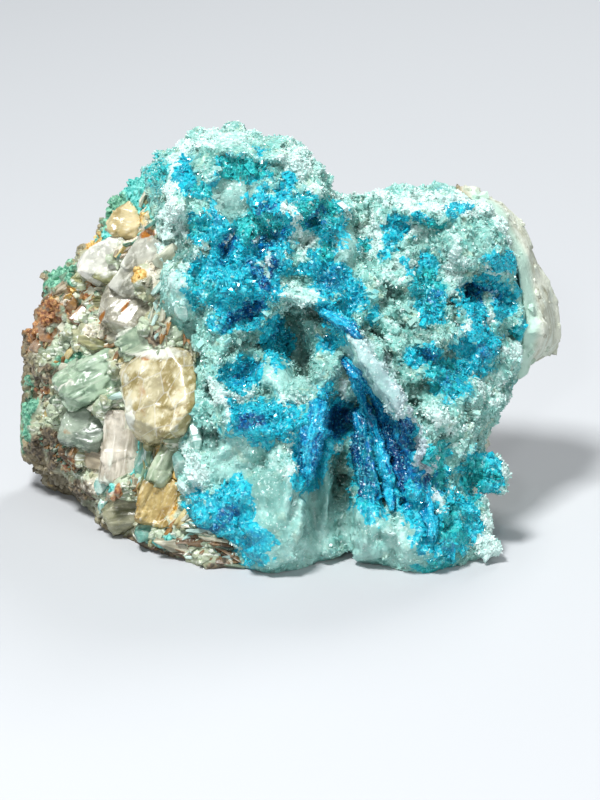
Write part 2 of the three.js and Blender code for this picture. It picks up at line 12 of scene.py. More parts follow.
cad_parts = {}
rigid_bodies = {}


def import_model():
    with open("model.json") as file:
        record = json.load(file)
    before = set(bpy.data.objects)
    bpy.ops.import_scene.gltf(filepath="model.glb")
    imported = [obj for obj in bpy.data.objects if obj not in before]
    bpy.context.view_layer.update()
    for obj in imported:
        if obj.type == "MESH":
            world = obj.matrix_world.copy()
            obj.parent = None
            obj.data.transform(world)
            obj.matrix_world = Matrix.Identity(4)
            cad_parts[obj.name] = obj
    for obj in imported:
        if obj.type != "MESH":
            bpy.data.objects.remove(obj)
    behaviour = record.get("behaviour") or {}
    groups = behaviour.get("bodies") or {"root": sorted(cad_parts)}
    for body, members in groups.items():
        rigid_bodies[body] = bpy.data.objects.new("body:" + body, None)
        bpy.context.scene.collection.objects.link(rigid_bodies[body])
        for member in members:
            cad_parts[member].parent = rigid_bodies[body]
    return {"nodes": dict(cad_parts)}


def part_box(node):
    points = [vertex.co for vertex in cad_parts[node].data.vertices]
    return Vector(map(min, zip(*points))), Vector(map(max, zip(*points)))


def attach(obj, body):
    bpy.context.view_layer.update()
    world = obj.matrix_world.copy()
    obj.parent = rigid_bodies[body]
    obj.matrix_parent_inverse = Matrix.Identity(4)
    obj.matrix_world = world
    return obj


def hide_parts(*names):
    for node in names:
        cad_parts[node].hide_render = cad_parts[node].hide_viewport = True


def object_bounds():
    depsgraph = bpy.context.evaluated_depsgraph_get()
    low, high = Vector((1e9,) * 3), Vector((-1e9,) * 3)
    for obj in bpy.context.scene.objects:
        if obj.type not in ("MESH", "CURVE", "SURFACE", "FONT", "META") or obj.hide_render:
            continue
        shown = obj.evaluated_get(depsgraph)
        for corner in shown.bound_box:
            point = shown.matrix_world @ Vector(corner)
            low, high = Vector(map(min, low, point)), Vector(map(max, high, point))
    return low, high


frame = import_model()
cadLow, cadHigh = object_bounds()
print("frame loaded")

mm = 0.001
face = {
    "leanBack": math.radians(20),  # the show face leans back from upright by this
    "footToMiddle": 13.0,  # from the foot's front edge back to the origin
    "cameraGap": 333.0,  # from the camera to the face's plane
    "aim": (1.0, 17.6),  # the picture's middle on the face
    "pictureTall": 80,  # what the picture's height takes in on the face
}


# The face's own frame: u to the right, v up the face from the foot, w into the specimen.
def fromFace(u, v, w=0.0):
    s, c = math.sin(face["leanBack"]), math.cos(face["leanBack"])
    return Vector((u, v * s + w * c - face["footToMiddle"], v * c - w * s)) * mm


def toFace(points):
    s, c = math.sin(face["leanBack"]), math.cos(face["leanBack"])
    y = points[:, 1] / mm + face["footToMiddle"]
    z = points[:, 2] / mm
    return points[:, 0] / mm, y * s + z * c, y * c - z * s


# Where points show on the face's plane to someone who looks square at it from the camera's place.
def asSeen(points):
    u, v, w = toFace(points)
    nearness = face["cameraGap"] / (face["cameraGap"] + w)
    aimU, aimV = face["aim"]
    return aimU + (u - aimU) * nearness, aimV + (v - aimV) * nearness


# An sRGB hex value as linear red, green, blue and alpha.
def colour(hexValue, alpha=1.0):
    parts = [int(hexValue[i:i + 2], 16) / 255 for i in (1, 3, 5)]
    return (*[p / 12.92 if p < 0.04045 else ((p + 0.055) / 1.055) ** 2.4 for p in parts], alpha)


# Gives a node's inputs their values: plain ones, sRGB hex values or other nodes' outputs.
def setInputs(tree, node, inputs):
    for key, value in inputs.items():
        if isinstance(value, bpy.types.NodeSocket):
            tree.links.new(value, node.inputs[key])
        else:
            node.inputs[key].default_value = colour(value) if str(value).startswith("#") else value


# Adds a node with its settings and inputs.
def addNode(tree, kind, inputs=None, **settings):
    node = tree.nodes.new(kind)
    for name, value in settings.items():
        setattr(node, name, value)
    setInputs(tree, node, inputs or {})
    return node


def select(thing):
    bpy.ops.object.select_all(action="DESELECT")
    thing.select_set(True)
    bpy.context.view_layer.objects.active = thing


def applyModifiers(thing):
    select(thing)
    for modifier in list(thing.modifiers):
        bpy.ops.object.modifier_apply(modifier=modifier.name)


def addModifier(thing, kind, **settings):
    modifier = thing.modifiers.new(kind.title(), kind)
    for name, value in settings.items():
        setattr(modifier, name, value)
    return modifier


def newObject(name, data):
    made = bpy.data.objects.new(name, data)
    bpy.context.scene.collection.objects.link(made)
    return made


# Works on all of a mesh in edit mode.
def inEditMode(thing, operator, **settings):
    select(thing)
    bpy.ops.object.mode_set(mode="EDIT")
    bpy.ops.mesh.select_all(action="SELECT")
    operator(**settings)
    bpy.ops.object.mode_set(mode="OBJECT")


# A merged copy of a CAD node's mesh under a new name.
def copyOfNode(node, name):
    made = newObject(name, frame["nodes"][node].data.copy())
    made.data.materials.clear()
    inEditMode(made, bpy.ops.mesh.remove_doubles, threshold=0.002 * mm)
    return made


def treeOf(node):
    mesh = frame["nodes"][node].data
    return BVHTree.FromPolygons([v.co for v in mesh.vertices], [p.vertices for p in mesh.polygons])


def pointsOf(thing, kind="co"):
    values = np.empty(len(thing.data.vertices) * 3)
    thing.data.vertices.foreach_get(kind, values)
    return values.reshape(-1, 3)


def setPoints(thing, points):
    thing.data.vertices.foreach_set("co", points.ravel())
    thing.data.update()


def normalsOf(thing):
    return pointsOf(thing, "normal")


def setAttribute(thing, name, values):
    kept = thing.data.attributes.get(name) or thing.data.attributes.new(name, "FLOAT", "POINT")
    kept.data.foreach_set("value", np.clip(values, 0, 1).astype(np.float32))


def attributeOf(thing, name):
    values = np.zeros(len(thing.data.vertices), np.float32)
    thing.data.attributes[name].data.foreach_get("value", values)
    return values


# How far values have come on their way past a start, from 0 (or the least) to 1.
def fade(values, start, width, least=0):
    return np.clip((values - start) / width, least, 1)


# Distance from each point to the nearest of some CAD nodes, in millimetres.
def distanceTo(points, nodes, reach=6.0):
    nearest = np.full(len(points), reach)
    for node in nodes:
        tree = treeOf(node)
        low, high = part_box(node)
        close = np.all((points > np.array(low) - reach * mm) & (points < np.array(high) + reach * mm),
                       axis=1)
        for i in np.flatnonzero(close):
            found = tree.find_nearest(Vector(points[i]), reach * mm)[3]
            if found is not None:
                nearest[i] = min(nearest[i], found / mm)
    return nearest


# Fractal noise from about -1 to 1 for lumps about `size` millimetres across.
def fractalAt(points, size, seed=0.0, octaves=3):
    shift = Vector((seed * 7.1, seed * 3.7, seed * 5.3))
    return np.array([noise.fractal(Vector(p) / (size * mm) + shift, 1.0, 2.0, octaves) for p in points])


# The crystal grains that a surface is made of: the middle of each point's grain and its own tone.
def grainsOf(points, size, seed):
    shift = Vector((seed * 3.1, seed * 5.7, seed * 2.3))
    middles = np.array([noise.voronoi(Vector(p) / (size * mm) + shift)[1][0] for p in points])
    tone = np.modf(np.abs(np.sin(middles @ np.array((12.99, 78.23, 37.72))) * 4375.85))[0]
    return (middles - np.array(shift)) * size * mm, tone


# Gives each grain of the surface its own height and slant, so that it looks broken and crystalline.
# The grains are four times as long along a given direction.
def facet(thing, size, height, seed, share, along=None):
    points = pointsOf(thing)
    squeezed = points if along is None else points - 0.75 * (points @ along)[:, None] * along
    middles, tone = grainsOf(squeezed, size, seed)
    slants = np.stack([np.modf(tone * turn)[0] - 0.5 for turn in (17.0, 131.0, 947.0)], axis=1)
    rise = 0.7 * (tone - 0.5) + np.einsum("ij,ij->i", squeezed - middles, slants) / (0.45 * size * mm)
    setPoints(thing, points + normalsOf(thing) * (rise * height * mm * share)[:, None])


# How much of each point the patches cover. A patch is u, v, half width, half height, turn in
# degrees, strength. Its rim is `soft` of its radius wide.
def coverage(u, v, patches, soft=0.35):
    covered = np.zeros(len(u))
    for pu, pv, halfU, halfV, turn, strength in patches:
        c, s = math.cos(math.radians(turn)), math.sin(math.radians(turn))
        along = ((u - pu) * c + (v - pv) * s) / halfU
        across = ((v - pv) * c - (u - pu) * s) / halfV
        share = np.clip((1 + soft - np.hypot(along, across)) / (2 * soft), 0, 1)
        covered = np.maximum(covered, strength * share * share * (3 - 2 * share))
    return covered


# Copies of small prototype meshes over a target's faces, as real mesh. The density attribute on the
# target says where, as a share of `perSquareMm`. The target's attributes pass on to the copies.
def scatterOver(target, name, prototypes, density, perSquareMm, sizes, tilt, seed, joinTarget=False):
    shelf = bpy.data.collections.new(name + "_prototypes")
    for one in prototypes:
        for home in list(one.users_collection):
            home.objects.unlink(one)
        shelf.objects.link(one)
    tree = bpy.data.node_groups.new(name, "GeometryNodeTree")
    tree.interface.new_socket("Geometry", in_out="INPUT", socket_type="NodeSocketGeometry")
    tree.interface.new_socket("Geometry", in_out="OUTPUT", socket_type="NodeSocketGeometry")
    taken = addNode(tree, "NodeGroupInput")
    where = addNode(tree, "GeometryNodeInputNamedAttribute", {"Name": density}, data_type="FLOAT")
    amount = addNode(tree, "ShaderNodeMath",
                     {0: where.outputs["Attribute"], 1: perSquareMm / mm ** 2}, operation="MULTIPLY")
    points = addNode(tree, "GeometryNodeDistributePointsOnFaces",
                     {"Mesh": taken.outputs[0], "Density": amount.outputs[0], "Seed": seed})
    turned = addNode(tree, "FunctionNodeRandomValue",
                     {0: (-tilt, -tilt, -math.pi), 1: (tilt, tilt, math.pi), "Seed": seed + 1},
                     data_type="FLOAT_VECTOR")
    asRotation = addNode(tree, "FunctionNodeEulerToRotation", {"Euler": turned.outputs[0]})
    rotation = addNode(tree, "FunctionNodeRotateRotation",
                       {"Rotation": points.outputs["Rotation"],
                        "Rotate By": asRotation.outputs[0]}, rotation_space="LOCAL")
    spreadOut = addNode(tree, "FunctionNodeRandomValue", {2: 0.0, 3: 1.0, "Seed": seed + 2},
                        data_type="FLOAT")
    skewed = addNode(tree, "ShaderNodeMath", {0: spreadOut.outputs[1], 1: 1.8}, operation="POWER")
    size = addNode(tree, "ShaderNodeMapRange",
                   {"Value": skewed.outputs[0], "To Min": sizes[0], "To Max": sizes[1]})
    pieces = addNode(tree, "GeometryNodeCollectionInfo",
                     {"Collection": shelf, "Separate Children": True, "Reset Children": True})
    pick = addNode(tree, "FunctionNodeRandomValue", {4: 0, 5: len(prototypes) - 1, "Seed": seed + 3},
                   data_type="INT")
    placed = addNode(tree, "GeometryNodeInstanceOnPoints",
                     {"Points": points.outputs["Points"], "Instance": pieces.outputs[0],
                      "Pick Instance": True, "Instance Index": pick.outputs[2],
                      "Rotation": rotation.outputs[0], "Scale": size.outputs[0]})
    real = addNode(tree, "GeometryNodeRealizeInstances", {"Geometry": placed.outputs[0]})
    last = real.outputs[0]
    if joinTarget:
        both = addNode(tree, "GeometryNodeJoinGeometry")
        tree.links.new(last, both.inputs[0])
        tree.links.new(taken.outputs[0], both.inputs[0])
        last = both.outputs[0]
    addNode(tree, "NodeGroupOutput", {0: last})
    made = newObject(name, target.data.copy())
    addModifier(made, "NODES", node_group=tree)
    applyModifiers(made)
    for one in list(shelf.objects):
        bpy.data.objects.remove(one)
    bpy.data.collections.remove(shelf)
    return made


# A small prism with a slanting point, one millimetre long, half sunk in what it stands on.
def prismPrototype(sides, width, flat, point, lean):
    bpy.ops.object.select_all(action="DESELECT")
    bpy.ops.mesh.primitive_cylinder_add(vertices=sides, radius=width / 2, depth=1.0)
    made = bpy.context.object
    for vertex in made.data.vertices:
        vertex.co.y *= flat
        if vertex.co.z > 0.2:
            vertex.co.x = vertex.co.x * point + lean
            vertex.co.y *= point
            vertex.co.z += vertex.co.x * 0.4
    made.data.transform(Matrix.Scale(mm, 4))
    return made


# An angular chip or a round lump, one millimetre in radius.
def lumpPrototype(subdivisions, uneven, seed):
    bpy.ops.object.select_all(action="DESELECT")
    bpy.ops.mesh.primitive_ico_sphere_add(subdivisions=subdivisions, radius=1.0)
    made = bpy.context.object
    draw = random.Random(seed)
    for vertex in made.data.vertices:
        vertex.co *= 1 + uneven * draw.uniform(-1, 1)
    made.data.transform(Matrix.Scale(mm, 4))
    return made


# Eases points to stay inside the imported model's box, and keeps them off the surface it stands on.
def keepInBox(thing, margin=0.03, soft=0.45):
    points = pointsOf(thing)
    for axis, sign in ((0, 1), (0, -1), (1, 1), (1, -1), (2, 1)):
        limit = cadHigh[axis] if sign > 0 else -cadLow[axis]
        beyond = np.maximum(sign * points[:, axis] - limit + (margin + soft) * mm, 0)
        points[:, axis] -= sign * (beyond - soft * mm * (1 - np.exp(-beyond / (soft * mm))))
    points[:, 2] = np.maximum(points[:, 2], cadLow[2])
    setPoints(thing, points)


# How far the surface stands out of (above 0) or lies in (below 0) its smoothed self.
def relief(thing, rounds, scale):
    smooth = newObject("smoothed", thing.data.copy())
    addModifier(smooth, "SMOOTH", factor=0.8, iterations=rounds)
    applyModifiers(smooth)
    offset = pointsOf(thing) - pointsOf(smooth)
    bpy.data.objects.remove(smooth)
    return np.einsum("ij,ij->i", offset, normalsOf(thing)) / (scale * mm)


# Where a surface faces the one who looks square at the face, from 0 to 1.
def facingViewer(thing):
    outward = np.array(fromFace(0, 0, -1) - fromFace(0, 0, 0)) / mm
    return fade(normalsOf(thing) @ outward, 0.35, 0.35)


# Roughens a piece with clouds of a size and height in millimetres, where its group allows.
def roughen(thing, name, clouds, level, group):
    size, height = clouds
    texture = bpy.data.textures.new(name, "CLOUDS")
    texture.noise_scale = size * mm
    addModifier(thing, "DISPLACE", texture=texture, strength=height * mm, mid_level=level,
                vertex_group=group)


# Fills the clearance to a piece's neighbours.
def puffUp(thing, distance):
    addModifier(thing, "DISPLACE", strength=distance * mm, mid_level=0.0)


# Makes one closed skin of all that a piece holds.
def fuse(thing, voxel):
    addModifier(thing, "REMESH", mode="VOXEL", voxel_size=voxel * mm)


def finishPiece(thing, material, smooth=True):
    thing.data.materials.clear()
    thing.data.materials.append(material)
    if smooth:
        thing.data.shade_smooth()
    else:
        thing.data.shade_flat()
    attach(thing, "root")
    return thing


crystalNodes = [name for name in frame["nodes"]
                if name not in ("host_rock", "hemimorphite_crust", "blue_blade_fan")]
# The glassy crystals: their two tones, how milky they are and which way their fibres run, and where
# they differ from crystalSettings, their splinters, the stretch of their grain and their cracks.
glassySettings = {
    "yellow_crystal": {"body": "#bda968", "second": "#e9e0ba", "milky": 0.42, "fibre": 62,
                       "splinters": 0.03, "stretch": 0.55, "cracked": 0.75},
    "white_oval_crystal": {"body": "#c9cdbd", "second": "#f0f0e6", "milky": 0.66, "fibre": 30,
                           "splinters": 0.03, "stretch": 0.8, "cracked": 0.3},
    "clear_crystal": {"body": "#8f8d7a", "second": "#bcb9a6", "milky": 0.5, "fibre": 40,
                      "splinters": 0.04, "stretch": 0.8, "cracked": 0.4},
    "green_blade_crystal": {"body": "#83aa8c", "second": "#bdd6ba", "milky": 0.5, "fibre": 22,
                            "splinters": 0.3},
    "sea_green_crystal": {"body": "#8cab90", "second": "#bfd0b4", "milky": 0.5, "fibre": 22,
                          "splinters": 0.24},
    "grey_glassy_crystal": {"body": "#7b8f7e", "second": "#a9b9a6", "milky": 0.5, "fibre": 10,
                            "splinters": 0.1, "stretch": 0.5},
    "tan_block_crystal": {"body": "#aca18a", "second": "#dbd4c4", "milky": 0.6, "fibre": 84,
                          "splinters": 0.18},
    "small_green_prism": {"body": "#a3bf99", "second": "#d0dec2", "milky": 0.5, "fibre": 62},
    "ochre_crystal": {"body": "#b8954a", "second": "#dcc484", "milky": 0.5, "fibre": 60,
                      "stretch": 0.4},
    "olive_crystal": {"body": "#8a8d68", "second": "#b3b294", "milky": 0.5, "fibre": 6},
    "grey_white_crystal": {"body": "#a5a796", "second": "#dcddd0", "milky": 0.55, "fibre": 48,
                           "splinters": 0.06, "stretch": 0.6},
    "cream_wedge_crystal": {"body": "#cdb67c", "second": "#e6d7a9", "milky": 0.55, "fibre": 20,
                            "stretch": 0.5},
}
# Where the glassy pieces are white with frost and where iron stains them: u, v, half width, half
# height, turn, strength.
frostedGlass = [
    (-16.3, 17.4, 0.6, 3.6, 8, 0.72), (-13.0, 22.2, 3.0, 0.7, 2, 0.8), (-9.2, 20.8, 0.6, 1.4, 10, 0.8),
    (-18.6, 31.0, 2.2, 1.4, 20, 0.7), (-14.0, 31.0, 2.2, 1.2, 50, 0.5),
    (-17.4, 24.4, 1.6, 0.5, 20, 0.9), (-17.6, 17.2, 2.4, 0.4, 12, 0.8), (-18.6, 13.0, 0.4, 2.8, 6, 0.7),
    (-13.6, 26.6, 1.0, 1.6, 0, 0.4), (-19.6, 9.4, 1.0, 1.2, 0, 0.7), (-12.6, 12.6, 0.3, 1.6, -20, 0.7),
    (-23.4, 19.0, 2.0, 0.4, 20, 0.6),
]
stainedGlass = [
    (-15.0, 17.8, 0.7, 2.6, 8, 0.6), (-14.6, 22.0, 0.7, 0.6, 0, 0.9), (-13.8, 15.0, 2.2, 0.8, 10, 0.4),
    (-16.8, 27.1, 0.3, 1.0, -30, 1.0), (-19.4, 25.8, 0.3, 1.4, -30, 0.9),
    (-10.2, 24.2, 0.4, 1.4, 10, 1.0), (-21.2, 31.2, 0.7, 1.0, 30, 0.5),
    (-14.6, 34.6, 1.0, 0.5, 20, 1.0), (-13.0, 13.6, 1.8, 0.7, 0, 0.5), (-23.6, 26.6, 2.4, 1.6, 30, 0.6),
    (-25.4, 24.2, 1.6, 1.4, 0, 0.7), (-17.9, 8.4, 0.3, 1.4, 0, 0.9), (-22.6, 28.9, 0.8, 0.8, 0, 0.7),
]
# The splintery mass between the crystals by its nearest example: u, v, turn, half length, half
# width, kinds.
splinterZones = [
    (-14.0, 36.0, 40, 0.8, 0.3, ("mint", "olive", "white", "teal")),
    (-12.6, 31.4, 55, 1.0, 0.3, ("white", "clear", "mint", "white")),
    (-18.6, 34.0, 40, 0.7, 0.3, ("tan", "rind", "yellow", "teal")),
    (-17.0, 28.4, 10, 0.8, 0.25, ("olive", "yellow", "white", "clear")),
    (-22.8, 28.6, 35, 0.7, 0.28, ("amber", "olive", "rind", "tan", "white")),
    (-23.6, 25.2, 60, 0.8, 0.25, ("amber", "pink", "clear", "brown", "white", "yellow")),
    (-26.2, 22.4, 50, 0.6, 0.28, ("brown", "amber", "clear", "tan", "grey")),
    (-17.6, 24.2, 25, 1.2, 0.25, ("white", "clear", "grey", "amber")),
    (-13.0, 24.4, 80, 0.9, 0.25, ("white", "mint", "clear", "amber")),
    (-15.0, 23.4, 20, 1.3, 0.3, ("green", "white", "yellow", "clear")),
    (-20.4, 20.4, 22, 1.7, 0.28, ("green", "white", "green", "grey")),
    (-18.6, 17.4, 14, 1.5, 0.25, ("green", "white", "clear", "mint")),
    (-24.8, 18.6, 20, 0.8, 0.3, ("grey", "brown", "green", "tan", "white")),
    (-27.0, 16.4, 70, 0.4, 0.22, ("rind", "rind", "olive", "grey", "brown")),
    (-21.8, 14.0, 60, 0.9, 0.3, ("grey", "clear", "green", "white")),
    (-24.4, 12.6, 40, 0.45, 0.24, ("brown", "grey", "tan", "rind", "amber")),
    (-17.8, 12.6, 86, 1.6, 0.22, ("white", "clear", "tan", "white")),
    (-15.2, 12.4, 95, 1.2, 0.3, ("teal", "green", "mint", "olive")),
    (-12.8, 12.2, 65, 1.1, 0.28, ("green", "mint", "yellow", "clear")),
    (-12.6, 8.0, 60, 1.0, 0.28, ("yellow", "amber", "yellow", "white")),
    (-18.6, 8.2, 60, 0.6, 0.25, ("clear", "mint", "white", "tan")),
    (-15.4, 4.6, 10, 0.8, 0.3, ("grey", "teal", "olive", "green", "brown")),
    (-9.4, 2.2, -8, 1.2, 0.28, ("clear", "grey", "brown", "mint")),
    (-24.0, 15.6, 30, 0.8, 0.3, ("grey", "tan", "yellow", "brown", "green")),
]
blockSettings = {
    "splinters": 560,
    "corners": 16,  # points whose hull a block is
    "raised": 0.2,  # its middle stands this far out of the rock
    "roundedFrom": 0.5,  # blocks wider than this have worn edges
    "edge": 0.07,
    "milky": (0.45, 0.75),
    "overhang": 1.4,  # a splinter whose end stands further than this off the rock is left out
}
blockKinds = {
    "clear": ("#98957c", "#cfccb4"), "white": ("#a9ae94", "#dedfca"), "green": ("#7ba284", "#b4cdb0"),
    "grey": ("#566a5b", "#8fa088"), "yellow": ("#a99556", "#d8c993"), "amber": ("#805328", "#bb9058"),
    "tan": ("#8f8066", "#c4b89e"), "teal": ("#3b7f74", "#84bcae"), "brown": ("#4f3c2a", "#8d6f4e"),
    "pink": ("#8b6d55", "#bda286"), "olive": ("#6c7248", "#a9a878"), "rind": ("#4f7a62", "#94b89c"),
    "mint": ("#7fbdb2", "#cfeae2"),
}
# Smaller cleaved pieces set between the crystals: u, v, half length, half width, turn, kind.
glassBlocks = [
    (-16.8, 29.7, 3.4, 0.9, -5, "olive"), (-20.8, 28.7, 0.9, 0.9, 20, "white"),
    (-17.0, 24.9, 1.6, 0.9, 10, "white"), (-17.8, 23.9, 1.1, 0.7, 30, "clear"),
    (-16.2, 23.7, 3.4, 0.8, 20, "grey"), (-21.1, 25.9, 1.5, 1.5, 60, "pink"),
    (-23.2, 24.9, 0.9, 0.7, 10, "white"), (-23.0, 27.4, 1.2, 1.0, 40, "amber"),
    (-25.2, 24.8, 1.3, 1.2, 0, "pink"), (-22.4, 29.8, 1.0, 0.9, 10, "olive"),
    (-20.4, 23.5, 1.4, 0.7, -10, "olive"), (-23.8, 29.0, 0.9, 0.7, 30, "tan"),
    (-16.5, 21.7, 1.3, 0.9, 30, "yellow"), (-14.8, 22.0, 0.9, 0.6, 20, "amber"),
    (-19.1, 21.1, 3.0, 1.0, 20, "green"), (-19.2, 18.9, 3.8, 1.2, 18, "green"),
    (-18.4, 17.6, 3.0, 0.6, 14, "white"), (-16.8, 18.2, 1.3, 0.6, 80, "white"),
    (-23.2, 20.6, 0.8, 0.8, 0, "white"), (-24.4, 22.0, 1.4, 0.9, 10, "brown"),
    (-21.3, 16.3, 1.7, 1.1, 10, "clear"), (-20.8, 13.9, 1.6, 1.4, 0, "grey"),
    (-17.6, 16.8, 1.6, 0.5, -4, "green"), (-16.0, 11.0, 1.8, 0.4, 86, "white"),
    (-15.2, 11.7, 2.4, 0.9, 100, "teal"), (-14.1, 13.0, 1.3, 0.8, 80, "olive"),
    (-12.0, 6.7, 1.4, 1.2, 10, "yellow"), (-14.6, 8.2, 1.5, 1.2, 30, "yellow"),
    (-19.1, 9.1, 1.0, 0.9, 0, "mint"), (-17.8, 7.5, 1.2, 0.7, -30, "clear"),
    (-16.8, 7.4, 0.7, 0.7, 0, "teal"), (-18.4, 6.4, 1.1, 0.8, -10, "olive"),
    (-16.5, 5.9, 1.0, 0.8, 10, "brown"), (-14.4, 4.3, 1.3, 1.2, 0, "teal"),
    (-12.8, 4.5, 1.1, 0.9, 20, "grey"), (-10.8, 2.7, 2.8, 0.9, -10, "clear"),
    (-7.6, 2.0, 1.4, 0.6, -8, "brown"), (-14.3, 6.2, 0.9, 0.7, 0, "olive"),
    (-20.0, 11.4, 1.5, 1.1, -20, "tan"), (-23.5, 11.7, 1.2, 1.0, 0, "brown"),
    (-22.3, 12.3, 0.6, 0.6, 0, "amber"), (-25.1, 16.1, 1.1, 0.9, 0, "yellow"),
    (-22.9, 16.0, 0.8, 0.8, 0, "tan"), (-24.0, 17.7, 1.0, 1.0, 0, "grey"),
    (-26.4, 20.4, 0.8, 0.7, 70, "tan"), (-12.0, 24.6, 0.5, 1.4, 10, "amber"),
    (-13.0, 20.9, 1.2, 0.7, 30, "white"), (-12.6, 32.2, 1.4, 1.0, 50, "white"),
    (-11.8, 30.4, 1.0, 0.8, 40, "mint"), (-11.0, 26.8, 0.7, 1.1, 0, "mint"),
    (-12.3, 27.6, 0.9, 0.6, 20, "clear"), (-15.8, 35.9, 1.5, 1.0, 30, "olive"),
    (-14.2, 37.6, 1.3, 1.0, 40, "mint"), (-17.6, 34.4, 1.1, 0.5, 30, "teal"),
    (-18.6, 33.2, 1.2, 0.6, 40, "tan"), (-22.8, 30.2, 0.9, 0.7, 40, "rind"),
    (-21.8, 31.2, 0.9, 0.6, 40, "rind"), (-14.6, 33.4, 1.6, 0.9, 50, "white"),
    (-11.0, 10.9, 0.9, 1.4, 20, "mint"), (-12.6, 10.2, 0.8, 1.8, -10, "clear"),
    (-10.4, 21.0, 0.8, 1.6, 10, "mint"), (-16.0, 17.4, 3.2, 0.7, 80, "white"),
    (-13.2, 21.9, 2.6, 0.5, 3, "white"), (-9.8, 18.6, 2.4, 0.5, 95, "mint"),
    (-15.7, 14.4, 0.8, 0.6, 20, "amber"), (-14.6, 17.8, 2.2, 0.25, 76, "amber"),
    (-9.6, 13.4, 0.7, 1.6, 10, "mint"), (-26.2, 23.2, 0.8, 1.0, 60, "pink"),
    (-19.9, 26.9, 1.4, 0.5, 70, "amber"),
]

# Where the crust is blue, as seen on the face: u, v, half width, half height, turn, strength.
bluePatches = [
    (-10.3, 40.1, 0.9, 2.0, 6, 1.0), (-8.6, 38.6, 1.3, 0.7, -30, 0.8), (-7.4, 39.9, 0.8, 0.8, 0, 0.6),
    (-4.8, 41.0, 2.4, 0.9, 0, 1.0), (-3.0, 42.8, 0.6, 0.45, 0, 0.9), (-3.9, 40.4, 1.6, 1.1, 0, 1.0),
    (-0.5, 39.0, 0.85, 1.2, 0, 1.0), (-2.7, 37.2, 1.5, 1.1, 0, 1.0), (2.0, 37.4, 1.1, 0.9, 0, 0.95),
    (2.8, 36.0, 2.4, 1.3, 0, 1.0), (4.0, 34.5, 1.6, 1.3, 0, 1.0), (3.8, 32.4, 0.9, 1.3, 0, 0.9),
    (-7.3, 35.2, 0.8, 1.4, 0, 1.0), (-8.8, 34.9, 1.0, 1.3, 0, 0.75), (-6.2, 33.2, 1.6, 2.2, -20, 1.0),
    (-2.9, 34.1, 2.6, 2.1, 0, 1.0), (-2.3, 30.4, 1.2, 2.5, 20, 1.0), (-6.6, 29.3, 3.5, 2.6, 0, 1.0),
    (-3.8, 31.0, 1.8, 2.6, 0, 0.95), (0.8, 30.9, 2.2, 0.9, 0, 0.85), (3.8, 29.7, 2.1, 1.7, -15, 1.0),
    (6.3, 27.6, 1.7, 1.2, 0, 0.9), (8.3, 26.0, 0.7, 0.7, 0, 0.85), (-4.7, 26.4, 3.0, 1.2, 40, 1.0),
    (-4.4, 24.9, 2.0, 0.8, 0, 0.7), (-1.2, 23.6, 1.5, 2.1, 15, 1.0), (-4.7, 20.4, 2.0, 1.5, 0, 1.0),
    (4.9, 25.5, 2.5, 0.8, -38, 1.0), (4.2, 23.4, 1.4, 0.8, 0, 0.95), (-2.4, 15.3, 3.5, 1.9, 0, 1.0),
    (-5.4, 16.9, 0.9, 1.0, 0, 0.8), (2.4, 13.4, 1.6, 4.8, -14, 1.0), (5.0, 15.6, 1.6, 2.0, 0, 1.0),
    (-7.2, 6.2, 3.3, 2.2, 20, 1.0), (-5.2, 8.9, 1.3, 1.0, 40, 0.9), (-4.0, 3.4, 1.6, 2.2, 30, 0.95),
    (7.8, 11.4, 1.6, 5.2, 0, 1.0), (11.4, 11.4, 2.2, 5.6, 14, 1.0), (13.2, 5.9, 1.6, 3.2, 22, 1.0),
    (14.6, 12.0, 1.2, 1.1, 0, 0.9), (15.0, 9.5, 0.9, 1.8, 0, 0.85), (19.2, 10.2, 1.9, 2.0, 0, 1.0),
    (16.8, 5.4, 2.0, 2.6, 0, 1.0), (15.2, 3.0, 1.2, 1.8, 0, 0.95), (14.4, 1.0, 1.8, 0.6, 0, 0.8),
    (10.7, 34.6, 1.2, 1.2, 0, 1.0), (10.0, 32.6, 0.9, 0.6, 0, 0.95), (13.4, 35.9, 0.9, 0.5, -20, 1.0),
    (15.0, 35.1, 0.7, 0.6, 0, 1.0), (16.7, 36.6, 1.2, 0.6, 15, 1.0), (7.2, 33.2, 0.5, 0.7, 0, 0.85),
    (14.0, 28.8, 1.3, 2.8, 0, 1.0), (21.6, 31.2, 1.9, 0.8, -8, 0.95), (19.7, 29.1, 1.5, 0.8, -10, 1.0),
    (23.0, 29.4, 0.6, 1.4, 0, 0.9), (17.9, 28.2, 1.0, 1.2, 0, 1.0), (21.7, 27.3, 1.0, 1.6, -20, 0.95),
    (18.2, 26.5, 1.1, 1.2, 0, 0.9), (23.4, 24.7, 0.9, 0.9, 0, 0.95), (19.0, 22.8, 1.6, 2.4, 0, 1.0),
    (13.4, 21.8, 2.0, 0.8, 0, 1.0), (15.8, 19.8, 2.1, 1.8, -30, 0.95), (17.4, 21.2, 1.1, 2.0, 20, 0.75),
    (11.9, 30.6, 0.8, 0.7, 0, 0.6), (14.4, 25.4, 1.2, 0.6, 20, 0.7), (-13.4, 40.2, 1.5, 1.8, 0, 0.42),
]
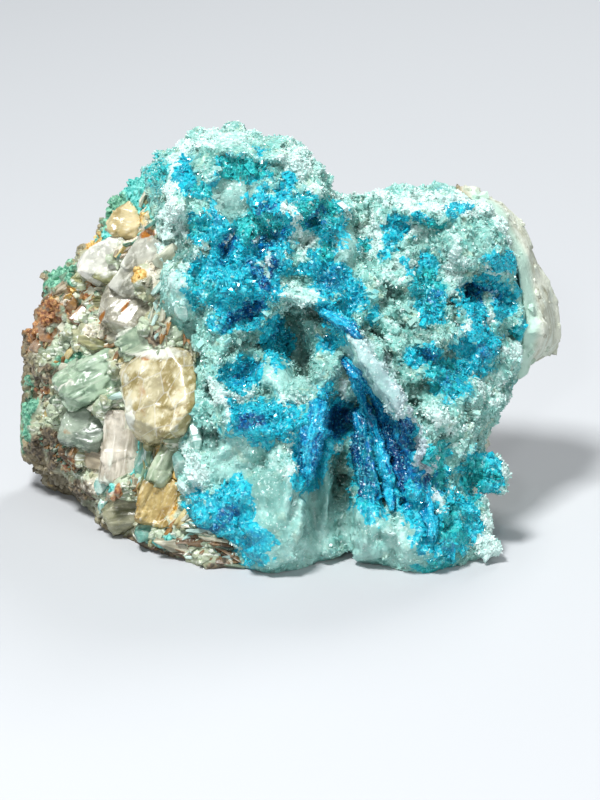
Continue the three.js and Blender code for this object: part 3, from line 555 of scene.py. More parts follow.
# Where the blue is deep, up to navy, with one patch of painted shade in the gap between the fan's
# blades, and where it leans to teal.
deepPatches = [
    (-6.3, 33.0, 1.0, 2.0, -25, 1.0), (-2.0, 33.6, 1.9, 1.0, 30, 0.75), (-2.3, 30.0, 1.0, 2.1, 20, 1.0),
    (-7.3, 35.4, 0.5, 0.7, 0, 0.7), (-2.2, 37.0, 1.1, 0.5, 30, 0.8), (2.6, 35.7, 1.9, 1.0, 0, 0.7),
    (4.0, 29.8, 1.8, 1.2, 0, 0.6), (-4.7, 26.3, 3.2, 0.7, 40, 0.95), (-0.8, 24.4, 0.7, 1.6, 30, 0.7),
    (-4.4, 20.7, 2.0, 0.7, 25, 0.6), (-4.2, 15.5, 1.6, 1.1, 0, 0.95), (5.0, 15.6, 1.5, 1.8, 0, 1.0),
    (-7.6, 5.2, 2.6, 0.9, 28, 0.8), (-3.9, 3.4, 1.2, 1.6, 30, 0.5), (10.4, 13.0, 1.8, 3.6, 10, 1.0),
    (7.8, 11.0, 1.3, 4.2, 0, 0.75), (12.4, 10.0, 1.0, 3.0, 10, 0.7), (13.6, 21.9, 1.6, 0.6, 0, 0.8),
    (14.2, 28.0, 1.1, 1.6, 0, 0.7), (19.0, 28.4, 2.2, 0.9, -25, 0.9), (19.0, 22.6, 1.1, 1.6, 0, 0.65),
    (16.0, 19.8, 1.5, 1.3, -30, 0.6), (14.8, 9.3, 0.7, 1.3, 0, 0.7), (-9.9, 39.0, 0.8, 0.9, 0, 0.6),
    (6.6, 27.5, 1.2, 0.9, 0, 0.5), (4.0, 23.2, 1.0, 0.6, 0, 0.5), (15.4, 3.0, 0.8, 1.4, 0, 0.5),
]
tealPatches = [
    (-4.6, 40.8, 2.8, 1.5, 0, 0.9), (-8.4, 38.4, 1.4, 0.8, -30, 0.7), (2.6, 36.2, 2.6, 1.8, 0, 0.9),
    (3.8, 32.4, 0.9, 1.1, 0, 0.8), (-3.4, 34.8, 2.8, 1.8, 0, 0.8), (7.6, 10.8, 1.5, 4.4, 0, 0.75),
    (14.6, 10.6, 1.3, 2.6, 0, 0.9), (19.0, 10.0, 2.0, 2.0, 0, 0.75), (16.2, 4.8, 2.6, 3.0, 0, 0.6),
    (14.4, 1.0, 2.2, 0.9, 0, 0.8), (-8.8, 34.9, 1.0, 1.2, 0, 0.7), (14.0, 28.8, 1.8, 2.6, 0, 0.7),
    (15.6, 20.0, 2.6, 2.0, -20, 0.6), (7.2, 33.2, 0.7, 0.9, 0, 0.8), (15.0, 35.2, 2.4, 0.9, 10, 0.7),
    (-8.6, 28.6, 2.0, 2.6, 0, 0.5), (22.6, 24.8, 1.6, 1.2, 0, 0.6), (4.2, 23.4, 1.4, 0.8, 0, 0.4),
    (-13.4, 40.2, 1.8, 2.2, 0, 1.0),
]
# Where the crust is white with frost, partly painted highlight along the wing's top edge.
frostPatches = [
    (-11.5, 39.8, 0.75, 4.4, -12, 1.3), (-11.0, 35.4, 1.2, 1.2, 0, 0.8),
    (-12.6, 33.4, 1.6, 3.2, 0, 0.75), (-0.6, 35.4, 2.2, 1.6, -25, 1.0), (-6.4, 17.0, 0.9, 2.2, 25, 1.0),
    (-4.4, 18.3, 1.1, 0.9, 0, 1.0), (-0.2, 17.6, 1.5, 1.0, 0, 0.8), (8.7, 20.3, 1.35, 5.2, 34, 1.0),
    (-9.6, 10.0, 1.2, 3.4, 10, 1.0), (-6.4, 3.0, 2.2, 0.6, -22, 1.0), (-0.4, 11.8, 1.8, 2.4, 0, 0.6),
    (13.4, 11.2, 0.6, 5.0, 14, 0.7), (19.6, 3.9, 1.4, 2.6, 0, 0.9), (21.6, 10.9, 0.6, 1.2, 0, 0.9),
    (15.4, 15.4, 2.8, 1.6, -20, 0.6), (18.2, 24.8, 1.0, 1.6, 0, 0.9), (10.8, 30.8, 1.8, 1.4, 0, 0.65),
    (2.0, 39.4, 1.2, 2.8, 10, 0.7), (-7.0, 43.8, 4.2, 1.0, 5, 0.7), (14.8, 37.6, 5.8, 1.1, 0, 1.0),
    (18.8, 37.0, 3.4, 1.2, -8, 1.0), (8.2, 34.0, 1.3, 2.4, 0, 0.9), (12.7, 34.3, 1.0, 1.0, 0, 0.9),
    (16.7, 31.6, 0.8, 2.4, 0, 0.9), (0.8, 41.6, 1.8, 2.4, 0, 0.8), (0.6, 27.9, 3.2, 1.2, -4, 0.6),
    (19.6, 19.2, 2.4, 1.2, -40, 0.6), (5.5, 18.9, 0.7, 1.0, 0, 0.8), (10.6, 4.4, 1.2, 1.6, 0, 0.7),
    (6.6, 38.0, 2.6, 1.2, 0, 0.6), (21.8, 34.4, 0.9, 2.4, 25, 0.9), (24.3, 28.0, 0.6, 2.8, 10, 0.9),
    (22.6, 22.6, 1.6, 0.8, 0, 0.8), (20.0, 26.0, 1.0, 0.8, 0, 0.9), (16.6, 30.4, 1.0, 1.4, 0, 0.9),
    (20.6, 30.2, 1.0, 0.5, -10, 0.8), (13.0, 26.6, 1.2, 1.0, 0, 0.5), (1.6, 33.2, 1.2, 1.4, 0, 0.7),
    (-11.8, 29.2, 1.4, 2.0, 0, 0.5),
]
# Where its hollows and shaded sides are a smooth dark grey-green, partly their own colour and partly
# painted shade.
hollowTintAndShadePatches = [
    (-5.6, 38.2, 1.9, 2.3, 0, 0.9), (-9.8, 32.8, 2.4, 1.4, 0, 0.7), (0.8, 23.4, 1.3, 4.0, 12, 0.6),
    (5.6, 33.0, 1.2, 1.9, 0, 0.9), (-8.4, 13.8, 1.2, 1.0, 0, 1.0), (4.6, 10.0, 1.3, 2.4, 0, 0.6),
    (5.6, 16.4, 0.8, 1.3, 0, 1.0), (2.6, 6.4, 1.3, 4.4, -4, 0.75), (-1.6, 8.6, 2.2, 1.8, 0, 0.6),
    (10.2, 9.0, 0.7, 3.0, 8, 0.9), (18.2, 28.2, 0.9, 0.8, 0, 1.0), (12.4, 31.0, 2.0, 1.2, 0, 0.6),
    (13.4, 18.8, 1.0, 0.7, 0, 0.9), (7.6, 23.8, 1.2, 1.1, 0, 0.8), (13.3, 24.2, 1.6, 0.9, 0, 0.6),
    (3.4, 4.0, 0.8, 3.0, 0, 0.6), (-4.0, 23.2, 1.6, 0.8, 0, 0.5), (1.6, 26.2, 2.2, 0.5, -10, 0.8),
    (10.4, 21.2, 1.6, 1.2, 0, 0.5), (8.2, 3.6, 0.6, 2.4, -8, 0.7),
]
# Where the frost is pale lilac.
lilacPatches = [
    (8.7, 20.3, 1.35, 5.2, 34, 1.0), (13.4, 11.6, 0.7, 4.8, 14, 1.0), (11.6, 16.0, 0.8, 1.0, 30, 0.8),
    (-6.0, 33.6, 0.4, 1.4, -30, 0.9), (-2.4, 31.4, 0.4, 1.5, 10, 0.9), (-3.4, 34.0, 0.5, 0.5, 0, 0.8),
    (14.8, 3.4, 0.4, 2.0, 20, 0.5), (6.0, 15.2, 0.5, 1.4, 0, 0.4), (3.8, 30.0, 0.4, 0.8, 20, 0.6),
]
# Where the crust is smooth and glassy instead of knobbly.
smoothPatches = [
    (-2.0, 5.6, 3.8, 6.0, 0, 1.0), (2.4, 6.0, 2.2, 6.4, -4, 1.0), (-1.4, 20.2, 2.0, 1.8, 0, 1.0),
    (-5.6, 38.2, 1.9, 2.3, 0, 0.9), (5.7, 33.2, 1.2, 2.0, 0, 1.0), (8.0, 20.6, 1.6, 4.8, 33, 1.0),
    (7.6, 4.6, 2.4, 3.6, 0, 1.0), (11.4, 3.6, 2.2, 2.6, 0, 0.9), (0.8, 23.4, 1.4, 4.0, 12, 0.3),
    (-7.4, 6.2, 3.0, 2.0, 20, 0.6), (-4.6, 12.0, 4.4, 2.6, 20, 0.7), (5.0, 15.6, 1.6, 2.0, 0, 0.8),
    (3.4, 20.4, 1.8, 2.4, 0, 0.4), (2.4, 13.4, 1.6, 4.8, -14, 1.0), (1.4, 28.0, 3.0, 0.9, -4, 0.6),
    (9.0, 11.4, 3.4, 5.6, 10, 0.7), (13.4, 6.6, 1.5, 3.6, 18, 0.6), (-11.4, 27.6, 2.0, 2.4, 0, 0.6),
    (16.2, 4.6, 1.4, 2.0, 0, 0.4),
]
# Forms of the crust's face: u, v, half width, half height, turn, height out of the face.
crustForms = [
    (0.6, 22.6, 1.4, 4.2, 10, -2.6), (18.2, 28.2, 1.1, 1.0, 0, -2.8), (19.4, 28.2, 3.0, 0.9, -15, -1.0),
    (6.4, 16.2, 1.2, 1.6, 0, -2.2), (5.0, 15.4, 1.6, 2.0, 0, -2.2), (5.2, 9.6, 1.6, 3.0, 0, -1.6),
    (-8.4, 13.7, 1.2, 1.0, 0, -1.8), (-4.7, 26.0, 3.4, 0.7, 40, -1.2), (-1.2, 23.8, 1.2, 2.2, 25, -0.8),
    (-4.8, 20.6, 2.2, 1.3, 20, -0.9), (-2.7, 33.6, 2.8, 0.9, 35, -1.0),
    (-6.2, 33.0, 0.9, 2.2, -25, -1.0), (-5.5, 38.2, 1.8, 2.2, 0, -1.4), (3.0, 35.8, 2.2, 0.8, 15, -1.1),
    (8.8, 23.0, 1.2, 2.6, 25, -2.0), (13.4, 18.8, 1.4, 0.7, 0, -1.3), (14.2, 27.6, 0.9, 2.2, 15, -1.0),
    (7.2, 35.2, 1.0, 3.8, 6, -2.2), (1.6, 26.3, 3.0, 0.6, -8, -1.6), (2.7, 6.6, 0.9, 4.6, 4, -1.5),
    (9.9, 7.8, 0.6, 3.2, 6, -1.4), (12.0, 17.4, 0.9, 2.8, 30, -1.2), (15.2, 7.2, 0.8, 3.0, 10, -1.3),
    (17.4, 9.0, 1.2, 1.6, 0, -1.4), (-9.8, 26.2, 1.4, 2.6, 20, -1.0), (-11.2, 33.4, 1.6, 2.2, 0, -1.1),
    (21.8, 25.2, 1.0, 2.4, 0, -1.1), (-2.0, 10.6, 1.0, 2.0, 0, -0.8), (10.0, 27.6, 1.4, 1.0, 0, -1.2),
    (17.8, 21.8, 0.8, 1.6, 0, -1.2), (-1.4, 20.3, 1.9, 1.7, 0, 1.6), (3.4, 20.5, 1.7, 2.4, 0, 1.0),
    (0.2, 17.6, 2.0, 1.4, 0, 1.6), (-2.4, 15.4, 3.8, 1.5, 4, 1.6), (0.9, 14.6, 1.4, 1.6, 0, 1.2),
    (-0.6, 35.6, 2.2, 1.5, -25, 1.6), (18.4, 33.0, 3.4, 2.5, 0, 1.4), (10.6, 30.6, 2.2, 2.4, 0, 1.2),
    (-11.6, 29.0, 1.8, 2.4, 0, 1.0), (-6.5, 17.0, 0.9, 2.2, 25, 1.2), (-4.4, 18.4, 0.9, 0.8, 0, 1.5),
    (16.0, 15.8, 2.6, 1.6, -20, 1.1), (18.2, 24.8, 1.1, 1.7, 0, 1.2), (1.4, 28.0, 3.0, 0.9, -4, 1.7),
    (7.8, 5.4, 1.2, 2.6, 0, 1.2), (11.8, 4.2, 1.5, 2.0, 0, 1.3), (-11.4, 38.6, 1.0, 2.6, 10, 1.0),
    (4.6, 36.6, 0.8, 0.8, 0, 1.0), (13.8, 23.6, 1.6, 1.2, 0, 1.2), (-3.6, 42.6, 3.6, 1.2, 0, 0.9),
    (-9.8, 31.6, 1.4, 1.2, 0, 0.9), (17.4, 18.4, 1.8, 1.2, 0, 1.1), (-6.6, 29.3, 3.2, 2.0, 20, 1.0),
    (-1.2, 7.6, 2.2, 4.6, -8, 1.2), (15.2, 24.2, 1.8, 1.0, 0, 0.8), (-7.4, 6.8, 2.6, 1.6, 20, 0.8),
    (14.8, 36.6, 4.0, 1.2, 0, 1.0), (7.8, 29.6, 1.2, 1.6, 0, 0.9),
]
# Pale ridges and slabs of the crust as rows of u, v, half width, height, brightness.
crustStrips = [
    [(5.6, 24.6, 0.3, 1.4, 0), (6.9, 22.6, 1.0, 2.3, 0), (8.5, 20.3, 1.2, 2.6, 0),
     (10.1, 18.0, 1.2, 2.5, 0),
     (11.3, 16.2, 1.1, 2.3, 0), (12.2, 14.8, 0.4, 1.6, 0)],
    [(11.8, 16.2, 0.4, 1.6, 0), (13.1, 14.2, 0.8, 2.3, 0), (13.9, 12.0, 0.8, 2.4, 0),
     (14.4, 9.6, 0.75, 2.3, 0),
     (14.9, 7.2, 0.65, 1.9, 0), (15.3, 5.2, 0.3, 1.2, 0)],
    [(-0.2, 13.4, 1.4, 1.0, 0), (-0.8, 9.2, 2.4, 1.6, 0), (-1.6, 4.8, 2.8, 1.8, 0),
     (-2.2, 1.2, 2.2, 1.2, 0)],
    [(7.0, 8.8, 0.8, 1.0, 0), (7.5, 6.2, 1.4, 1.9, 0), (7.8, 3.6, 1.7, 2.2, 0),
     (7.6, 1.2, 1.2, 1.4, 0)],
    [(10.8, 6.6, 0.8, 1.0, 0), (11.6, 4.6, 1.6, 2.0, 0), (11.9, 2.6, 1.5, 1.9, 0),
     (11.6, 1.0, 0.8, 1.2, 0)],
    [(-10.3, 43.8, 0.3, 0.6, 0), (-11.1, 41.8, 0.5, 1.2, 0), (-11.6, 39.4, 0.6, 1.4, 0),
     (-12.0, 37.2, 0.5, 1.2, 0), (-12.1, 35.6, 0.2, 0.6, 0)],
    [(-8.6, 20.4, 0.2, 1.2, 0), (-7.4, 18.6, 0.7, 1.9, 0), (-6.2, 17.0, 0.9, 2.1, 0),
     (-5.0, 15.2, 0.3, 1.2, 0)],
]
# Blue blades, as the rows above: the fan's, then the single ones beside it.
fanBlades = [
    [(6.9, 17.0, 0.5, 1.0, 0.3), (7.2, 14.6, 1.0, 1.3, 0.15), (7.5, 11.6, 1.3, 1.5, 0.1),
     (7.8, 9.2, 1.2, 1.4, 0.25), (8.1, 7.4, 0.8, 1.1, 0.4), (8.0, 6.4, 0.2, 0.7, 0.5)],
    [(5.8, 21.2, 0.3, 1.2, 0.9), (6.8, 18.8, 0.5, 1.7, 0.9), (7.9, 16.2, 0.7, 2.0, 0.75),
     (8.9, 13.4, 0.8, 2.2, 0.65), (9.6, 10.6, 0.8, 2.2, 0.6), (10.0, 8.4, 0.7, 1.9, 0.7),
     (10.2, 6.4, 0.2, 1.2, 0.8)],
    [(8.6, 18.2, 0.5, 1.2, 0.6), (9.8, 16.0, 1.3, 1.7, 0.5), (10.6, 13.6, 1.5, 2.1, 0.1),
     (11.3, 11.2, 1.4, 2.3, 0.0), (11.9, 8.8, 1.3, 2.3, 0.3), (12.4, 6.8, 1.1, 2.3, 0.75),
     (12.9, 4.8, 0.9, 2.0, 0.9), (13.3, 3.0, 0.3, 1.2, 0.95)],
    [(11.0, 16.6, 0.4, 1.5, 0.2), (12.1, 14.2, 1.1, 2.2, 0.1), (12.9, 12.0, 1.3, 2.4, 0.05),
     (13.4, 9.8, 1.2, 2.5, 0.3), (13.8, 7.6, 1.1, 2.5, 0.75), (14.1, 5.4, 0.9, 2.2, 0.9),
     (14.3, 3.2, 0.3, 1.3, 0.85)],
]
loneBlades = [
    [(3.4, 18.6, 0.4, 1.1, 0.4), (2.8, 16.8, 1.2, 1.7, 0.5), (2.3, 14.6, 1.6, 2.0, 0.7),
     (2.1, 12.4, 1.2, 2.0, 0.75), (1.8, 10.4, 0.7, 1.7, 0.75), (1.6, 8.8, 0.15, 1.0, 0.8)],
    [(1.7, 16.2, 0.3, 1.3, 0.6), (1.3, 14.2, 0.7, 1.8, 0.7), (1.0, 12.4, 0.7, 1.8, 0.6),
     (1.1, 10.6, 0.5, 1.5, 0.7), (1.3, 9.4, 0.1, 0.9, 0.8)],
    [(2.8, 26.7, 0.3, 0.7, 0.9), (4.0, 26.0, 0.65, 1.1, 0.8), (5.4, 25.1, 0.7, 1.3, 0.8),
     (6.5, 24.2, 0.6, 1.6, 0.6), (7.3, 23.5, 0.2, 1.5, 0.5)],
    [(5.1, 22.2, 0.3, 1.2, 0.7), (6.0, 21.0, 0.8, 1.7, 0.8), (7.1, 19.8, 0.7, 1.8, 0.8),
     (8.4, 18.4, 0.8, 1.9, 0.8), (9.6, 17.4, 0.7, 1.9, 0.7), (10.8, 16.4, 0.2, 1.3, 0.6)],
]
crustSettings = {
    "voxel": 0.25,
    "puff": 0.18,  # closes the clearance to the rock
    "lumpsPerSquareMm": 0.22,  # round lumps fused to the crust
    "lumpRadii": (0.3, 1.1),
    "facets": ((3.0, 0.5), (1.0, 0.12)),  # size and height of its broken grains
    "coarseBump": (1.1, 0.32),  # size and height of the clouds that roughen it
    "fineBump": (0.42, 0.15),
    "facesKept": 0.7,  # keeps it under 200,000 triangles
    "clearOfRock": 0.45,  # no druse grows nearer than this to the rock
    "clearOfCrystals": 0.5,
    "blueGrowth": 1.14,  # how much the blue patches spread
}
bladeSettings = {
    "step": 0.16,  # between two sections along a blade
    "across": 17,  # points across it
    "wave": 0.42,  # how unevenly its edges run, as shares of its half width
    "sway": 0.35,
    "ridges": 0.1,  # height of the splinters that it is built of
    "rise": 0.75,  # the share of a row's height that it gets
    "root": 1.4,  # how deep it goes into the crust
    "lift": 0.45,  # how far the blue blades stand clear of the druse
    "facets": (0.9, 0.12),  # size and height of their broken grains
    "needlesPerSquareMm": 7.0,
    "needleLengths": (0.14, 0.42),
    "needles": ((4, 0.6, 0.5, 0.4, 0.1), (5, 0.5, 0.6, 0.5, 0.0)),  # as in druseSettings
}


# Where druse can grow: on what shows, clear of the rock and the glassy crystals.
def openGround(points):
    fromRock = distanceTo(points, ["host_rock"], 2.0)
    fromOthers = distanceTo(points, crystalNodes, 2.0)
    room = fade(fromRock, crustSettings["clearOfRock"], 0.4)
    room *= fade(fromOthers, crustSettings["clearOfCrystals"], 0.4)
    room *= fade(points[:, 2] / mm, 0.5, 0.6)
    return room * (1 - coverage(*asSeen(points), smoothPatches, 0.4))


# Moves a shape in or out of the face by its forms.
def shapeForms(thing, forms):
    points = pointsOf(thing)
    u, v = asSeen(points)
    wobble = 0.5 * fractalAt(points, 1.6, 12)
    height = sum(1.25 * form[5] * coverage(u + wobble, v - wobble, [(*form[:5], 1.0)], 0.4)
                 for form in forms)
    height *= fade(toFace(points)[2], 15, -5)
    outward = np.array(fromFace(0, 0, -1) - fromFace(0, 0, 0))
    setPoints(thing, points + height[:, None] * outward)


# A vertex group by which modifiers act less where the values are low.
def setGroup(thing, name, values):
    group = thing.vertex_groups.new(name=name)
    for i, value in enumerate(values):
        group.add([i], float(value), "REPLACE")


def paintCrust(thing):
    points = pointsOf(thing)
    coarse, tone = grainsOf(points, 0.9, 31)
    small, smallTone = grainsOf(points, 0.45, 32)
    u, v = asSeen(0.3 * points + 0.4 * coarse + 0.3 * small)
    wobbleU, wobbleV = fractalAt(points, 2.2, 1, 4), fractalAt(points, 2.2, 2, 4)
    u, v = u + wobbleU, v + wobbleV
    front = fade(toFace(points)[2], 16, -5)  # the painting fades out round the sides
    sideBlue = np.clip(fractalAt(points, 6.0, 3) * 2.2 - 0.45, 0, 1) * (1 - front)
    jitter = 0.3 * (tone - 0.5) + 0.3 * (smallTone - 0.5)
    lilac = coverage(u, v, lilacPatches, 0.4) * front
    growth = crustSettings["blueGrowth"]
    grown = [(pu, pv, growth * halfU, growth * halfV, turn, strength)
             for pu, pv, halfU, halfV, turn, strength in bluePatches]
    field = (coverage(u, v, grown, 0.45) * front + sideBlue) * (1 - 0.9 * lilac) + jitter
    # Navy blue, plus painted shade in the gap between the fan's blades.
    deep = coverage(u + 0.6 * wobbleV, v - 0.6 * wobbleU, deepPatches, 0.5) * front + jitter
    broad, fine = relief(thing, 30, 0.5), relief(thing, 4, 0.1)
    # The frost values: the white frost patches, plus painted highlight where the surface stands out of
    # its smoothed self.
    frosted = (0.9 * np.maximum(coverage(u, v, frostPatches, 0.5) * front, lilac)
               + 0.55 * np.clip(broad, 0, 1) + 0.25 * np.clip(fine, 0, 1))
    # Painted shade: darker where the surface lies in its smoothed self, and in the hollow patches, which
    # are partly their own dark grey-green.
    hollowTintAndShade = (0.9 * coverage(u, v, hollowTintAndShadePatches, 0.4) * front
              + 0.8 * fade(-broad, 0.1, 1) + 0.4 * fade(-fine, 0.2, 1))
    painted = {"blue": fade(field, 0.36, 0.16), "tint": fade(field, 0.0, 0.4), "deep": deep,
               "teal": coverage(u, v, tealPatches, 0.5) * front + (1 - front) * 0.6, "lilac": lilac,
               "smooth": coverage(u, v, smoothPatches, 0.4) * front,
               "tone": 0.5 * tone + 0.5 * smallTone, "frostAndHighlight": frosted, "hollowTintAndShade": hollowTintAndShade}
    for name, values in painted.items():
        setAttribute(thing, name, values)


# The line of sight through a place on the face, from in front of it.
def sightLine(u, v):
    start = fromFace(u, v, -25)
    return start, (fromFace(u, v, 0) - start).normalized()


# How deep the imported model's front lies at a place on the face.
def surfaceAt(u, v, missing=9.0):
    hits = [tree.ray_cast(*sightLine(u, v))[0] for tree in frontTrees]
    return min([toFace(np.array([hit]))[2][0] for hit in hits if hit is not None], default=missing)


# A blade as a closed shape along rows of u, v, half width, height and brightness, built of long
# splinters. The crest lies across it from -1 (left) to 1 (right).
def bladeStrip(name, rows, seed, crest=0.0, lift=0.0):
    rows = np.array(rows, float)
    across, ridges = bladeSettings["across"], bladeSettings["ridges"]
    length = np.concatenate([[0], np.cumsum(np.hypot(np.diff(rows[:, 0]), np.diff(rows[:, 1])))])
    stations = np.linspace(0, length[-1], max(8, int(length[-1] / bladeSettings["step"])))
    u, v, half, height, bright = [np.interp(stations, length, rows[:, k]) for k in range(5)]
    ends = np.clip(np.minimum(stations, stations[::-1]) / 0.8, 0, 1)
    u, v = [np.convolve(np.pad(one, 3, "edge"), np.ones(7) / 7, "valid") for one in (u, v)]
    depth = np.array([surfaceAt(*place) for place in zip(u, v)])
    depth = np.convolve(np.pad(depth, 6, "edge"), np.ones(13) / 13, "valid")
    ahead = np.stack([np.gradient(u), np.gradient(v)], axis=1)
    ahead /= np.linalg.norm(ahead, axis=1)[:, None]
    points, grain, tonesWithCrestHighlight = [], [], []
    for k in range(len(stations)):
        wave = bladeSettings["wave"] * noise.fractal(Vector((stations[k] * 1.1, seed, 0)), 0.6, 2.2, 4)
        sway = bladeSettings["sway"] * noise.noise(Vector((stations[k] * 0.7, seed, 9)))
        for t in np.linspace(-1, 1, across):
            side = half[k] * (t * (1 + wave) + sway)
            slope = (t + 1) / (crest + 1) if t < crest else (1 - t) / (1 - crest)
            place = t * half[k] * 1.5 + seed * 7
            cell = noise.voronoi(Vector((place, stations[k] * 0.38, 3.3)))[1][0]
            own = math.modf(abs(math.sin(cell.x * 12.99 + cell.y * 78.23)) * 4375.85)[0] - 0.5
            rise = bladeSettings["rise"] * height[k] * min(1, slope * 2.6) ** 0.7
            rise += ridges * (3.4 * own + 4 * own * (place - cell.x))
            rise = (rise + lift * min(1, slope * 4)) * (0.3 + 0.7 * ends[k])
            if abs(t) == 1:
                rise = -0.5
            points.append(fromFace(u[k] - ahead[k, 1] * side, v[k] + ahead[k, 0] * side,
                                   depth[k] - rise))
            grain.append((half[k] * t, stations[k] * 0.1, seed))
            # Each point's tone, with a painted highlight along the crest where its ridge catches the
            # light.
            tonesWithCrestHighlight.append(bright[k] + 0.6 * own + 0.3 * math.exp(-((t - crest) / 0.14) ** 2))
        points.append(fromFace(u[k], v[k], depth[k] + bladeSettings["root"]))
        grain.append((0, stations[k] * 0.1, seed))
        tonesWithCrestHighlight.append(bright[k])
    ring = across + 1
    last = ring * (len(stations) - 1)
    faces = [tuple(range(ring)), tuple(last + i for i in reversed(range(ring)))]
    for k in range(len(stations) - 1):
        for i in range(ring):
            j = (i + 1) % ring
            faces.append((k * ring + j, k * ring + i, (k + 1) * ring + i, (k + 1) * ring + j))
    mesh = bpy.data.meshes.new(name)
    mesh.from_pydata(points, [], faces)
    made = newObject(name, mesh)
    inEditMode(made, bpy.ops.mesh.normals_make_consistent, inside=False)
    mesh.attributes.new("grain", "FLOAT_VECTOR", "POINT").data.foreach_set(
        "vector", np.array(grain).ravel())
    setAttribute(made, "bright", np.array(tonesWithCrestHighlight))
    return made


def joinAll(things, name):
    bpy.ops.object.select_all(action="DESELECT")
    for thing in things:
        thing.select_set(True)
    bpy.context.view_layer.objects.active = things[0]
    bpy.ops.object.join()
    things[0].name = name
    return things[0]


frontTrees = [treeOf(node) for node in ("hemimorphite_crust", "host_rock")]


def makeCrust():
    base = copyOfNode("hemimorphite_crust", "crust_base")
    setAttribute(base, "room", openGround(pointsOf(base)))
    lumps = [lumpPrototype(2, 0.1, seed) for seed in (1, 2, 3)]
    crust = scatterOver(base, "hemimorphite_druse_crust", lumps, "room",
                        crustSettings["lumpsPerSquareMm"], crustSettings["lumpRadii"],
                        tilt=0.5, seed=11, joinTarget=True)
    bpy.data.objects.remove(base)
    fuse(crust, 1.6 * crustSettings["voxel"])
    applyModifiers(crust)
    shapeForms(crust, crustForms)
    puffUp(crust, crustSettings["puff"])
    applyModifiers(crust)
    strips = [bladeStrip("strip", rows, order, crest=0.6) for order, rows in enumerate(crustStrips)]
    crust = joinAll([crust, *strips], "hemimorphite_druse_crust")
    fuse(crust, crustSettings["voxel"])
    addModifier(crust, "SMOOTH", factor=0.5, iterations=1)
    applyModifiers(crust)
    smoothness = coverage(*asSeen(pointsOf(crust)), smoothPatches, 0.4)
    setGroup(crust, "knobbly", 1 - 0.85 * smoothness)
    for order, (size, height) in enumerate(crustSettings["facets"]):
        facet(crust, size, height, seed=41 + order, share=1 - 0.95 * smoothness)
    for name in ("coarseBump", "fineBump"):
        roughen(crust, "druse " + name, crustSettings[name], level=0.5, group="knobbly")
    addModifier(crust, "DECIMATE", ratio=crustSettings["facesKept"])
    applyModifiers(crust)
    keepInBox(crust)
    paintCrust(crust)
    setAttribute(crust, "room", openGround(pointsOf(crust)))
    print("crust", len(crust.data.polygons))
    return crust


# A new material and the values that place its colours: noise grains by their size in millimetres and
# their detail, and the mesh's own attributes by which output they give.
def startMaterial(name, grains, attributes):
    material = bpy.data.materials.new(name)
    material.use_nodes = True
    tree = material.node_tree
    values = {"place": addNode(tree, "ShaderNodeTexCoord").outputs["Object"]}
    for key, (size, detail) in grains.items():
        values[key] = addNode(tree, "ShaderNodeTexNoise",
                              {"Vector": values["place"], "Scale": 1 / (size * mm),
                               "Detail": detail}).outputs["Fac"]
    for key, output in attributes.items():
        values[key] = addNode(tree, "ShaderNodeAttribute", attribute_name=key).outputs[output]
    return material, tree, values


# Paints layers over a colour. A layer is a colour, the value that brings it in, and where given the
# limits between which it comes and the share that it reaches.
def paint(tree, values, under, *layers):
    for over, key, *limits in layers:
        amount = values[key]
        if limits:
            low, high, share = (*limits, 1.0)[:3]
            amount = addNode(tree, "ShaderNodeMapRange",
                             {"Value": amount, "From Min": low, "From Max": high,
                              "To Max": values.get(share, share)},
                             interpolation_type="SMOOTHSTEP").outputs[0]
        under = addNode(tree, "ShaderNodeMix", {0: amount, 6: under, 7: over},
                        data_type="RGBA").outputs[2]
    return under


# A start with values added to it, each times its weight.
def addUp(tree, start, *terms):
    for value, weight in terms:
        start = addNode(tree, "ShaderNodeMath", {0: value, 1: weight, 2: start},
                        operation="MULTIPLY_ADD").outputs[0]
    return start


# Heights of grains that each slant their own way, so that single faces catch the light.
def slantedGrains(tree, vector, cells):
    slant = addNode(tree, "ShaderNodeVectorMath", {0: cells.outputs["Color"], 1: (0.5, 0.5, 0.5)},
                    operation="SUBTRACT")
    offset = addNode(tree, "ShaderNodeVectorMath", {0: vector, 1: cells.outputs["Position"]},
                     operation="SUBTRACT")
    return addNode(tree, "ShaderNodeVectorMath", {0: slant.outputs[0], 1: offset.outputs[0]},
                   operation="DOT_PRODUCT").outputs["Value"]
